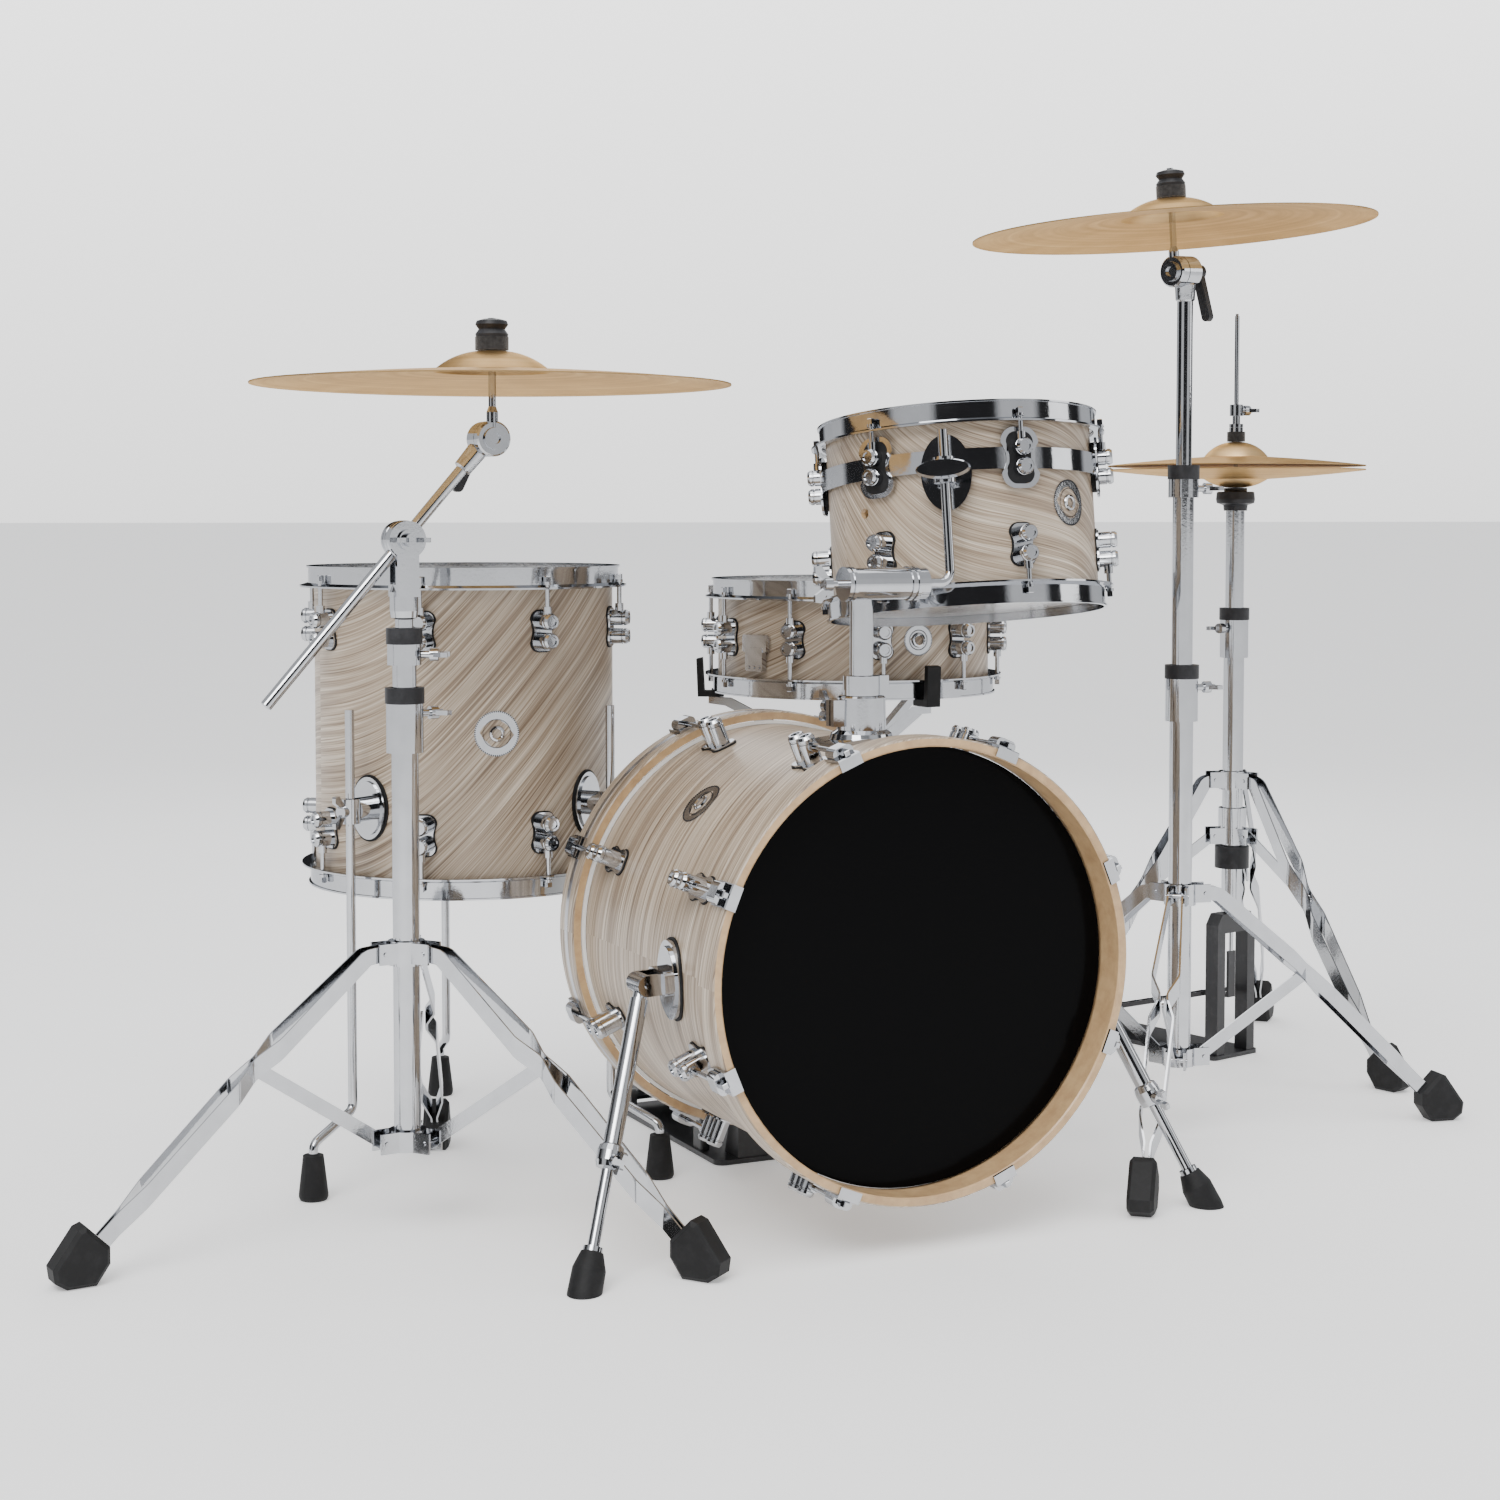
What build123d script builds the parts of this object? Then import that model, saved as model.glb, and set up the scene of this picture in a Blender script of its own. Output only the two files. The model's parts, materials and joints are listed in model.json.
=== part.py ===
from build123d import *
import os
from math import atan2, cos, degrees, hypot, radians, sin

# Acoustic drum kit: bass drum with a rack tom on its post, floor tom, snare drum on its stand,
# ride cymbal on a boom stand, crash cymbal on a straight stand, hi-hat stand and bass drum pedal.
# Millimetres. +Z is up, the floor is z = 0, and the bass drum's front faces -Y. The origin is on
# the floor below the middle of the whole kit. Angles on a drum or stand are in degrees,
# anticlockwise from +X when seen from above.

# ---------------------------------------------------------------- driving dimensions
INCH = 25.4
BASS_X = -119.0
BASS_FRONT_Y = -478.0
BASS_Z = 294.0
BASS_RADIUS = 9.0 * INCH
BASS_SHELL_LENGTH = 14.0 * INCH
BASS_HOOP_REACH = 35.0
BASS_LUG_COUNT = 8
BASS_MID_Y = BASS_FRONT_Y + BASS_HOOP_REACH + BASS_SHELL_LENGTH / 2

RACK_TOM_CENTRE = (83.0, -192.0, 762.0)
RACK_TOM_RADIUS = 6.0 * INCH
RACK_TOM_DEPTH = 8.0 * INCH
RACK_TOM_TILT = 7.0
RACK_TOM_LUG_ANGLES = [25.0 + 60.0 * i for i in range(6)]
RACK_BRACKET_ANGLE = -125.0

FLOOR_TOM_X = -405.0
FLOOR_TOM_Y = 153.0
FLOOR_TOM_Z = 517.0
FLOOR_TOM_RADIUS = 7.0 * INCH
FLOOR_TOM_DEPTH = 14.0 * INCH
FLOOR_TOM_LUG_ANGLES = [11.0 + 45.0 * i for i in range(8)]
FLOOR_TOM_LEG_ANGLES = [-146.5, -56.5, 78.5]

SNARE_X = 154.0
SNARE_Y = 215.0
SNARE_Z = 609.0
SNARE_RADIUS = 7.0 * INCH
SNARE_DEPTH = 5.0 * INCH
SNARE_LUG_ANGLES = [2.0 + 36.0 * i for i in range(10)]
SNARE_STRAINER_ANGLE = 20.0
SNARE_BUTT_ANGLE = -160.0
SNARE_ARM_ANGLES = [-88.0, 32.0, 152.0]
SNARE_LEG_ANGLES = [-100.0, 20.0, 140.0]

RIDE_STAND = (-580.0, -167.0)
RIDE_LEG_ANGLES = [67.0, 187.0, 307.0]
CRASH_STAND = (404.0, -175.0)
CRASH_LEG_ANGLES = [-11.0, 109.0, 229.0]
STAND_LEG_REACH = 352.0

HIHAT_STAND = (740.0, 179.0)
HIHAT_LEG_ANGLES = [-76.0, 44.0, 164.0]
HIHAT_LEG_REACH = 268.0
HIHAT_PEDAL_ANGLE = 104.0

TOM_POST = (BASS_X, -328.0)
TOM_ARM_Z = 692.0

SHELL_WALL = 6.0
WOOD_HOOP_WALL = 10.0
WOOD_HOOP_GAP = 5.0
FILM = 0.8
CLEAR = 0.3
FIT = 0.05
ROD_RADIUS = 2.75
RIM_HEIGHT = 11.0
FLANGE_DROP = 13.0
FLANGE_REACH = 17.0
TOM_ROD_OFFSET = 12.0
BASS_ROD_OFFSET = 21.0
LUG_RECEIVER = 16.0
ROD_ENTRY = 10.0
WASHER_SEAT = 4.3

LOWER_TUBE = 14.3
MID_TUBE = 12.7
TOP_TUBE = 9.5
TUBE_WALL = 1.5
BOOM_RADIUS = 6.35
STEM_RADIUS = 4.0
ARM_RADIUS = 5.25
STRAP_THICK = 2.2
STRAP_WIDTH = 17.0
BRACE_THICK = 2.6
BRACE_WIDTH = 15.0
PIN_RADIUS = 2.5
CLEVIS_OFFSET = 11.0
STEM_OFFSET = 18.0

os.makedirs("parts", exist_ok=True)


# ---------------------------------------------------------------- frames and small helpers
def save(builder, label):
    """Label a finished piece and write it to its own STEP file."""
    builder.part.label = label
    export_step(builder.part, f"parts/{label}.step")


def frame_at(x, y, z=0.0, angle=0.0):
    """Level frame at a point, its +X turned by an angle."""
    turn = radians(angle)
    return Plane(origin=(x, y, z), x_dir=(cos(turn), sin(turn), 0), z_dir=(0, 0, 1))


def direction(frame, x, y, z):
    """A direction given in a frame, as a vector in the kit's own axes."""
    return frame.from_local_coords(Vector(x, y, z)) - frame.from_local_coords(Vector(0, 0, 0))


def shifted(frame, x, y, z):
    """The same frame with its origin moved by a step along its own axes."""
    return Plane(frame.from_local_coords(Vector(x, y, z)), x_dir=frame.x_dir, z_dir=frame.z_dir)


def section(frame):
    """Half-section plane of a turned piece: x is the radius, y runs along the frame's axis."""
    return Plane(origin=frame.origin, x_dir=frame.x_dir, z_dir=-frame.y_dir)


def turned(frame, outline):
    """Revolve a closed outline of (radius, height) points about a frame's axis."""
    with BuildSketch(section(frame)) as profile:
        with BuildLine():
            Polyline(*outline, close=True)
        make_face()
    revolve(profile.sketch, axis=Axis(frame.origin, frame.z_dir))


def ring(frame, inner, outer, low, high):
    """A plain ring, or a solid disc where the inner radius is 0."""
    with BuildSketch(frame.offset(low)) as profile:
        Circle(outer)
        if inner > 0:
            Circle(inner, mode=Mode.SUBTRACT)
    extrude(profile.sketch, amount=high - low)


def outward(frame, radius, angle, height, up=1):
    """Plane on a drum's side: +Z points away from the axis and +Y along it, up or down."""
    turn = radians(angle)
    return Plane(
        origin=frame.from_local_coords(Vector(radius * cos(turn), radius * sin(turn), height)),
        x_dir=direction(frame, -up * sin(turn), up * cos(turn), 0),
        z_dir=direction(frame, cos(turn), sin(turn), 0),
    )


def lengthwise(frame, radius, angle, height, up=1):
    """Plane beside a drum: +Z runs along its axis, up or down, and +X points outwards."""
    turn = radians(angle)
    return Plane(
        origin=frame.from_local_coords(Vector(radius * cos(turn), radius * sin(turn), height)),
        x_dir=direction(frame, cos(turn), sin(turn), 0),
        z_dir=direction(frame, 0, 0, up),
    )


def across(frame):
    """Plane standing on a frame: its +Z is the frame's +X and its +Y is the frame's +Z."""
    return Plane(origin=frame.origin, x_dir=frame.y_dir, z_dir=frame.x_dir)


def wing_bolt(frame, reach, span):
    """Wing bolt along a frame's +Z: shank, hub and two upswept ears."""
    ring(frame, 0, 4.0, 0, reach)
    ring(frame, 0, 7.0, reach, reach + 9)
    with BuildSketch(section(frame)) as ears:
        with BuildLine():
            Polyline(
                (-5, reach + 2), (5, reach + 2), (span / 2, reach + 13), (span / 2 - 1, reach + 20),
                (span / 2 - 8, reach + 20), (4, reach + 9), (-4, reach + 9), (8 - span / 2, reach + 20),
                (1 - span / 2, reach + 20), (-span / 2, reach + 13), close=True,
            )
        make_face()
        fillet(vertices(), radius=1.5)
    extrude(ears.sketch, amount=2.5, both=True)


# ---------------------------------------------------------------- drum building blocks
def shell(name, frame, radius, length, vent_angle, cuts=()):
    """Ply shell with bearing edges cut at 45 degrees, an air vent and holes for its mounts."""
    with BuildPart() as piece:
        half = length / 2
        inner = radius - SHELL_WALL
        turned(frame, [(inner, -half + 4), (inner + 4, -half), (radius - 0.8, -half), (radius, -half + 1),
                       (radius, half - 1), (radius - 0.8, half), (inner + 4, half), (inner, half - 4)])
        holes = [(outward(frame, radius - 12, vent_angle, 0), 6.0)] + list(cuts)
        for plane, hole in holes:
            with BuildSketch(plane):
                Circle(hole)
            extrude(amount=24, mode=Mode.SUBTRACT)
    save(piece, name)


def drum_ends(frame, length):
    """The two bearing edges: frames with +Z pointing out of the drum."""
    top = shifted(frame, 0, 0, length / 2)
    bottom = Plane(frame.from_local_coords(Vector(0, 0, -length / 2)),
                   x_dir=frame.x_dir, z_dir=-frame.z_dir)
    return top, bottom


def head(end, radius):
    """Drum head: stretched film, its collar over the bearing edge and the flesh hoop."""
    skirt = radius + 0.4
    turned(end, [(0, CLEAR), (skirt, CLEAR), (skirt, -9), (radius + 4.2, -9), (radius + 4.2, -4),
                 (skirt + FILM, -4), (skirt + FILM, CLEAR + FILM), (0, CLEAR + FILM)])


def heads(name, frame, radius, length):
    with BuildPart() as piece:
        for end in drum_ends(frame, length):
            head(end, radius)
    save(piece, name)


def flanged_hoop(end, radius, angles):
    """Triple-flanged steel hoop with a hole in its flange for every tension rod."""
    wall = radius + 4.9
    turned(end, [(wall, -FLANGE_DROP), (wall, -3.5), (wall - 2.4, -3.5), (wall - 2.4, -1.6), (wall, 0.4),
                 (wall, RIM_HEIGHT), (wall + 4.2, RIM_HEIGHT), (wall + 4.2, RIM_HEIGHT - 2),
                 (wall + 2.2, RIM_HEIGHT - 2.2), (wall + 2.2, -FLANGE_DROP + 4),
                 (radius + FLANGE_REACH, -FLANGE_DROP + 1), (radius + FLANGE_REACH, -FLANGE_DROP - 1),
                 (wall + 3, -FLANGE_DROP)])
    holes = [lengthwise(end, radius + TOM_ROD_OFFSET + CLEAR, angle, -FLANGE_DROP - 4) for angle in angles]
    with BuildSketch(*holes) as hole:
        Circle(ROD_RADIUS + 0.4)
    extrude(hole.sketch, amount=9, mode=Mode.SUBTRACT)


def flanged_hoops(name, frame, radius, length, angles):
    top, bottom = drum_ends(frame, length)
    with BuildPart() as piece:
        flanged_hoop(top, radius, angles)
        flanged_hoop(bottom, radius, [-angle for angle in angles])
    save(piece, name)


def turret(centre_y, top):
    """One round turret of a lug, standing on its base plate."""
    turned(Plane(origin=(0, centre_y, 0)), [
        (0, 2), (9.5, 2), (9.5, top - 8), (8.4, top - 7.4), (8.4, top - 6.4), (9.5, top - 5.8),
        (9.5, top - 3), (7.6, top), (5.2, top), (5.2, top - 1.6), (0, top - 1.6)])


def lug(rod_offset, both_ways=False):
    """A lug on XY: hourglass base plate, two turrets and a receiver for the tension rod."""
    top = rod_offset + 12
    with BuildPart() as piece:
        with BuildSketch():
            RectangleRounded(28, 46, 9)
            with Locations((33.5, 0), (-33.5, 0)):
                Circle(22, mode=Mode.SUBTRACT)
        extrude(amount=3)
        turret(11, top)
        turret(-11, top)
        ends = (1, -1) if both_ways else (1,)
        for end in ends:
            with BuildSketch(Plane.XZ.offset(-end * 12)):
                with Locations((0, rod_offset)):
                    Circle(5.0)
            extrude(amount=-end * LUG_RECEIVER)
            with BuildSketch(Plane.XZ.offset(-end * (12 + LUG_RECEIVER))):
                with Locations((0, rod_offset)):
                    Circle(ROD_RADIUS + FIT)
            extrude(amount=end * (ROD_ENTRY + 1), mode=Mode.SUBTRACT)
    return piece.part


TOM_LUG = lug(TOM_ROD_OFFSET)
SNARE_LUG = lug(TOM_ROD_OFFSET, both_ways=True)
BASS_LUG = lug(BASS_ROD_OFFSET)


def tension_rod(length):
    """Tension rod hanging from its washer at z = 0: shank, washer, collar and square key head."""
    with BuildPart() as piece:
        ring(Plane.XY, 0, ROD_RADIUS, -length, 1)
        ring(Plane.XY, 0, 4.8, 0, 1.2)
        ring(Plane.XY, 0, 4.4, 1.2, 3.2)
        with BuildSketch(Plane.XY.offset(3.2)):
            Rectangle(6.2, 6.2)
        extrude(amount=6.5)
        chamfer(piece.faces().sort_by(Axis.Z)[-1].edges(), length=0.8)
    return piece.part


def tom_lugs(name, frame, radius, length, angles, lug_inset, lug_part):
    """Every lug of a tom or snare drum, and the tension rods that run to them."""
    top, bottom = drum_ends(frame, length)
    receiver_end = lug_inset - 12 - LUG_RECEIVER
    rod = tension_rod(receiver_end - FLANGE_DROP + WASHER_SEAT + ROD_ENTRY)
    with BuildPart() as piece:
        for end, turn in ((top, 1), (bottom, -1)):
            spots = [turn * angle for angle in angles]
            if turn == 1 or lug_part is not SNARE_LUG:
                with Locations(*[outward(end, radius + CLEAR, a, -lug_inset) for a in spots]):
                    add(lug_part)
            rod_radius = radius + TOM_ROD_OFFSET + CLEAR
            with Locations(*[lengthwise(end, rod_radius, a, -FLANGE_DROP + WASHER_SEAT) for a in spots]):
                add(rod)
    save(piece, name)


# ---------------------------------------------------------------- bass drum
bass = Plane(origin=(BASS_X, BASS_MID_Y, BASS_Z), x_dir=(1, 0, 0), z_dir=(0, -1, 0))
bass_front, bass_rear = drum_ends(bass, BASS_SHELL_LENGTH)
bass_lug_angles = [22.5 + 45.0 * i for i in range(BASS_LUG_COUNT)]
post_offset = BASS_MID_Y - TOM_POST[1]
post_hole = (outward(bass, BASS_RADIUS - 12, 90, post_offset), MID_TUBE + 1.0)
shell("bass_shell", bass, BASS_RADIUS, BASS_SHELL_LENGTH, 50, [post_hole])

with BuildPart() as bass_hoops:
    hoop_inner = BASS_RADIUS + WOOD_HOOP_GAP
    hoop_outer = hoop_inner + WOOD_HOOP_WALL
    for end in (bass_front, bass_rear):
        turned(end, [(hoop_inner, -6), (hoop_outer - 1.5, -6), (hoop_outer, -4.5),
                     (hoop_outer, BASS_HOOP_REACH - 1.5), (hoop_outer - 1.5, BASS_HOOP_REACH),
                     (hoop_inner + 1.5, BASS_HOOP_REACH), (hoop_inner, BASS_HOOP_REACH - 1.5)])
save(bass_hoops, "bass_hoops")

heads("bass_heads", bass, BASS_RADIUS, BASS_SHELL_LENGTH)

BASS_LUG_INSET = 62.0
with BuildPart() as bass_lugs:
    for end in (bass_front, bass_rear):
        with Locations(*[outward(end, BASS_RADIUS + CLEAR, a, -BASS_LUG_INSET) for a in bass_lug_angles]):
            add(BASS_LUG)
save(bass_lugs, "bass_lugs")


def claw():
    """Claw hook in a frame at the bearing edge's centre: x is the radius, z points out of the drum."""
    rod_x = BASS_RADIUS + BASS_ROD_OFFSET + CLEAR
    with BuildPart() as piece:
        with BuildSketch(Plane.XZ):
            with BuildLine():
                Polyline((hoop_outer + CLEAR, 6), (hoop_outer + CLEAR, BASS_HOOP_REACH + CLEAR),
                         (hoop_inner + 0.5, BASS_HOOP_REACH + CLEAR),
                         (hoop_inner + 0.5, BASS_HOOP_REACH + 3), (hoop_outer + 2, BASS_HOOP_REACH + 3),
                         (hoop_outer + 3.2, BASS_HOOP_REACH + 1.5), (hoop_outer + 3.2, 6), close=True)
            make_face()
        extrude(amount=13, both=True)
        with BuildSketch(Plane.XY.offset(10)):
            with Locations((rod_x, 0)):
                SlotOverall(24, 13, rotation=90)
            with Locations((hoop_outer + 3, 0)):
                Rectangle(4, 20)
        extrude(amount=18)
        with BuildSketch(Plane.XY.offset(9)):
            with Locations((rod_x, 0)):
                Circle(ROD_RADIUS + 0.4)
            with Locations((hoop_outer - 2 + CLEAR, 0)):
                Rectangle(4, 30)
        extrude(amount=20, mode=Mode.SUBTRACT)
    return piece.part


CLAW = claw()
BASS_ROD = tension_rod(28.2 + BASS_LUG_INSET - 12 - LUG_RECEIVER + ROD_ENTRY)
with BuildPart() as bass_claws:
    for end in (bass_front, bass_rear):
        with Locations(*[lengthwise(end, 0, a, 0) for a in bass_lug_angles]):
            add(CLAW)
        rod_radius = BASS_RADIUS + BASS_ROD_OFFSET + CLEAR
        with Locations(*[lengthwise(end, rod_radius, a, 28.2) for a in bass_lug_angles]):
            add(BASS_ROD)
save(bass_claws, "bass_claws")

# Spurs: a bracket on each side of the shell and a leg that folds about the bracket's pivot.
SPUR_PIVOT = (262.0, 280.0)
SPUR_PIVOT_Y = BASS_FRONT_Y + 138.0
SPUR_FOOT = (370.0, -450.0)
SPUR_PIN = 3.0


def spur_frame(side):
    """Frame on a spur's pivot: +Z runs down the leg to its foot."""
    pivot = Vector(BASS_X + side * SPUR_PIVOT[0], SPUR_PIVOT_Y, SPUR_PIVOT[1])
    foot = Vector(BASS_X + side * SPUR_FOOT[0], SPUR_FOOT[1], 0)
    along = (foot - pivot).normalized()
    return Plane(origin=pivot, x_dir=Vector(0, 1, 0).cross(along), z_dir=along), (foot - pivot).length


with BuildPart() as bass_spur_brackets:
    for side, angle in ((1, -3), (-1, 183)):
        base = outward(bass, BASS_RADIUS + 1.2, angle, BASS_MID_Y - SPUR_PIVOT_Y)
        for top, wide, tall in ((3, 42, 27), (6, 36, 22)):
            with BuildSketch(base.offset(top)):
                Ellipse(wide, tall)
            extrude(amount=-top - 5)
        with BuildSketch(base):
            RectangleRounded(26, 44, 6)
        extrude(amount=16)
        hinge = Plane((BASS_X + side * SPUR_PIVOT[0], SPUR_PIVOT_Y, SPUR_PIVOT[1]), x_dir=base.z_dir,
                      z_dir=base.y_dir)
        for low in (-16.7, 12.2):
            with BuildSketch(hinge.offset(low)):
                Circle(11)
                with Locations((-13, 0)):
                    Rectangle(26, 22)
            extrude(amount=4.5)
        ring(hinge, 0, SPUR_PIN, -19, 19)
    with BuildSketch(bass):
        Circle(BASS_RADIUS + 1.2)
    extrude(amount=BASS_SHELL_LENGTH / 2, both=True, mode=Mode.SUBTRACT)
save(bass_spur_brackets, "bass_spur_brackets")


def spur(side, name):
    """Spur leg: hinge knuckle, tube, memory collar, inner rod and rubber foot."""
    frame, length = spur_frame(side)
    with BuildPart() as piece:
        knuckle = Plane(origin=frame.origin, x_dir=(1, 0, 0), z_dir=(0, 1, 0))
        ring(knuckle, 0, 11, -11.9, 11.9)
        turned(frame, [(0, 8), (7.5, 8), (7.5, 17), (9.5, 17), (9.5, 170), (12.5, 172), (14, 178),
                       (14, 188), (12.5, 194), (6.2, 196), (6.2, length - 46), (10, length - 46),
                       (10, length - 41), (0, length - 41)])
        wing = Plane(frame.from_local_coords(Vector(0, 0, 183)), x_dir=frame.z_dir, z_dir=(0, -1, 0))
        wing_bolt(wing, 14, 24)
        with BuildSketch(knuckle.offset(-13)):
            Circle(SPUR_PIN + FIT)
        extrude(amount=26, mode=Mode.SUBTRACT)
        turned(frame, [(0, length - 40.7), (11.5, length - 40.7), (17, length - 24), (17.5, length + 2),
                       (15, length + 24), (0, length + 24)])
        with BuildSketch(Plane.XY):
            with Locations((BASS_X + side * SPUR_FOOT[0], SPUR_FOOT[1])):
                Rectangle(120, 120)
        extrude(amount=-60, mode=Mode.SUBTRACT)
    save(piece, name)


spur(-1, "bass_spur_left")
spur(1, "bass_spur_right")

# ---------------------------------------------------------------- tom post on the bass drum
BASE_TOP = 571.0
post = frame_at(*TOM_POST)
shell_top = BASS_Z + BASS_RADIUS

with BuildPart() as tom_mount_base:
    with BuildSketch(Plane(origin=(BASS_X, TOM_POST[1], BASS_Z), x_dir=(1, 0, 0), z_dir=(0, -1, 0))):
        Circle(BASS_RADIUS + CLEAR + 4)
        Circle(BASS_RADIUS + CLEAR, mode=Mode.SUBTRACT)
        with Locations((0, BASS_RADIUS)):
            Rectangle(104, 40, mode=Mode.INTERSECT)
    extrude(amount=34, both=True)
    turned(post, [(0, shell_top - 1), (36, shell_top - 1), (33, shell_top + 8), (27, shell_top + 12),
                  (26, BASE_TOP - 2), (24, BASE_TOP), (0, BASE_TOP)])
    with BuildSketch(post.offset(shell_top + 16)):
        with Locations((-30, 0)):
            Rectangle(16, 18)
    extrude(amount=BASE_TOP - shell_top - 20)
    with BuildSketch(Plane(origin=(BASS_X, TOM_POST[1], BASS_Z), x_dir=(1, 0, 0), z_dir=(0, -1, 0))):
        Circle(BASS_RADIUS + CLEAR)
    extrude(amount=60, both=True, mode=Mode.SUBTRACT)
    with BuildSketch(post.offset(shell_top - 20)):
        Circle(MID_TUBE + FIT)
        with Locations((-30, 0)):
            Rectangle(30, 2.5)
    extrude(amount=80, mode=Mode.SUBTRACT)
    clamp_screw = Plane(origin=(BASS_X - 31, TOM_POST[1] + 10, BASE_TOP - 12), x_dir=(0, 0, 1),
                        z_dir=(0, 1, 0))
    wing_bolt(clamp_screw, 5, 34)
save(tom_mount_base, "tom_mount_base")

elbow_drop = radians(RACK_TOM_TILT)
rack = Plane(origin=RACK_TOM_CENTRE, x_dir=(1, 0, 0), z_dir=(0, sin(elbow_drop), cos(elbow_drop)))
ARM_OFFSET = 34.0
arm_turn = radians(RACK_BRACKET_ANGLE)
arm_local = ((RACK_TOM_RADIUS + ARM_OFFSET) * cos(arm_turn), (RACK_TOM_RADIUS + ARM_OFFSET) * sin(arm_turn))
arm_high = rack.from_local_coords(Vector(*arm_local, 78))
arm_mid = rack.from_local_coords(Vector(*arm_local, 0))
arm_slide = (arm_mid.Z - TOM_ARM_Z) / cos(elbow_drop)
elbow = arm_mid - rack.z_dir * arm_slide
ARM_BORE_X = BASS_X + 38.0
CLAMP_END_X = BASS_X + 62.0
arm_axis = Plane(origin=(BASS_X, elbow.Y, TOM_ARM_Z), x_dir=(0, 1, 0), z_dir=(1, 0, 0))

with BuildPart() as tom_post:
    ring(post, MID_TUBE - TUBE_WALL, MID_TUBE, 445, 700)
    with BuildSketch(post.offset(BASE_TOP + CLEAR)):
        Circle(20)
        with Locations((20, 0)):
            Rectangle(20, 14)
        Circle(MID_TUBE + FIT, mode=Mode.SUBTRACT)
    extrude(amount=21)
    with BuildSketch(post.offset(TOM_ARM_Z - 16)):
        Circle(20)
        with Locations((14, (elbow.Y - TOM_POST[1]) / 2)):
            Rectangle(34, abs(elbow.Y - TOM_POST[1]) + 10)
    extrude(amount=32)
    ring(arm_axis, 0, 17, -34, 62)
    for low in (-36, -30, 40, 47):
        ring(arm_axis, 0, 18.5, low, low + 4)
    with BuildSketch(post.offset(640)):
        Circle(MID_TUBE + FIT)
    extrude(amount=60.2, mode=Mode.SUBTRACT)
    ring(post, MID_TUBE - TUBE_WALL, MID_TUBE, 640, 700)
    with BuildSketch(arm_axis.offset(ARM_BORE_X - BASS_X)):
        Circle(ARM_RADIUS + FIT)
    extrude(amount=40, mode=Mode.SUBTRACT)
    ratchet_screw = Plane(origin=(BASS_X - 36, elbow.Y, TOM_ARM_Z), x_dir=(0, 0, 1), z_dir=(-1, 0, 0))
    wing_bolt(ratchet_screw, 14, 40)
save(tom_post, "tom_post")

with BuildPart() as tom_l_arm:
    with BuildLine() as arm_path:
        FilletPolyline((ARM_BORE_X + 1, elbow.Y, TOM_ARM_Z), tuple(elbow), tuple(arm_high), radius=14)
    with BuildSketch(Plane(origin=(ARM_BORE_X + 1, elbow.Y, TOM_ARM_Z), z_dir=(1, 0, 0))):
        Circle(ARM_RADIUS)
    sweep(path=arm_path.wires()[0])
save(tom_l_arm, "tom_l_arm")

# ---------------------------------------------------------------- rack tom
TOM_LUG_INSET = 54.0
shell("rack_tom_shell", rack, RACK_TOM_RADIUS, RACK_TOM_DEPTH, -165)
heads("rack_tom_heads", rack, RACK_TOM_RADIUS, RACK_TOM_DEPTH)
flanged_hoops("rack_tom_hoops", rack, RACK_TOM_RADIUS, RACK_TOM_DEPTH, RACK_TOM_LUG_ANGLES)
tom_lugs("rack_tom_lugs", rack, RACK_TOM_RADIUS, RACK_TOM_DEPTH, RACK_TOM_LUG_ANGLES, TOM_LUG_INSET,
         TOM_LUG)

BAND_INNER = RACK_TOM_RADIUS + 5.0
BAND_THICK = 2.5
BAND_HALF_HEIGHT = 12.0
BAND_LUG_ANGLES = [-215.0, -155.0, -95.0, -35.0]
band_height = RACK_TOM_DEPTH / 2 - TOM_LUG_INSET

with BuildPart() as rack_tom_bracket:
    with BuildSketch(shifted(rack, 0, 0, band_height - BAND_HALF_HEIGHT)):
        with BuildLine():
            CenterArc((0, 0), BAND_INNER + BAND_THICK / 2, -215, 180)
        trace(line_width=BAND_THICK)
    extrude(amount=2 * BAND_HALF_HEIGHT)
    for angle in BAND_LUG_ANGLES:
        with BuildSketch(outward(rack, BAND_INNER, angle, band_height)):
            RectangleRounded(46, 68, 17)
            with Locations((43, 0), (-43, 0)):
                Circle(26, mode=Mode.SUBTRACT)
        extrude(amount=BAND_THICK)
    plate = outward(rack, BAND_INNER, RACK_BRACKET_ANGLE, band_height - 14)
    with BuildSketch(plate):
        Ellipse(28, 42)
    extrude(amount=7)
    for angle in BAND_LUG_ANGLES:
        with BuildSketch(outward(rack, BAND_INNER - 10, angle, band_height)):
            RectangleRounded(32, 58, 11)
            with Locations((35, 0), (-35, 0)):
                Circle(22, mode=Mode.SUBTRACT)
        extrude(amount=24, mode=Mode.SUBTRACT)
    with BuildSketch(plate):
        Circle(15)
    extrude(amount=24)
    eye = lengthwise(rack, RACK_TOM_RADIUS + ARM_OFFSET, RACK_BRACKET_ANGLE, band_height - 28)
    ring(eye, 0, 12, 0, 28)
    wing = outward(rack, RACK_TOM_RADIUS + ARM_OFFSET, RACK_BRACKET_ANGLE, band_height - 14)
    ring(wing, 0, 7, 8, 18)
    with BuildSketch(wing.offset(14)):
        Ellipse(30, 11)
    extrude(amount=9, taper=12)
    with BuildSketch(shifted(eye, 0, 0, -4)):
        Circle(ARM_RADIUS + FIT)
    extrude(amount=36, mode=Mode.SUBTRACT)
    with BuildSketch(rack.offset(-60)):
        Circle(BAND_INNER - 0.6)
    extrude(amount=140, mode=Mode.SUBTRACT)
save(rack_tom_bracket, "rack_tom_bracket")

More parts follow.
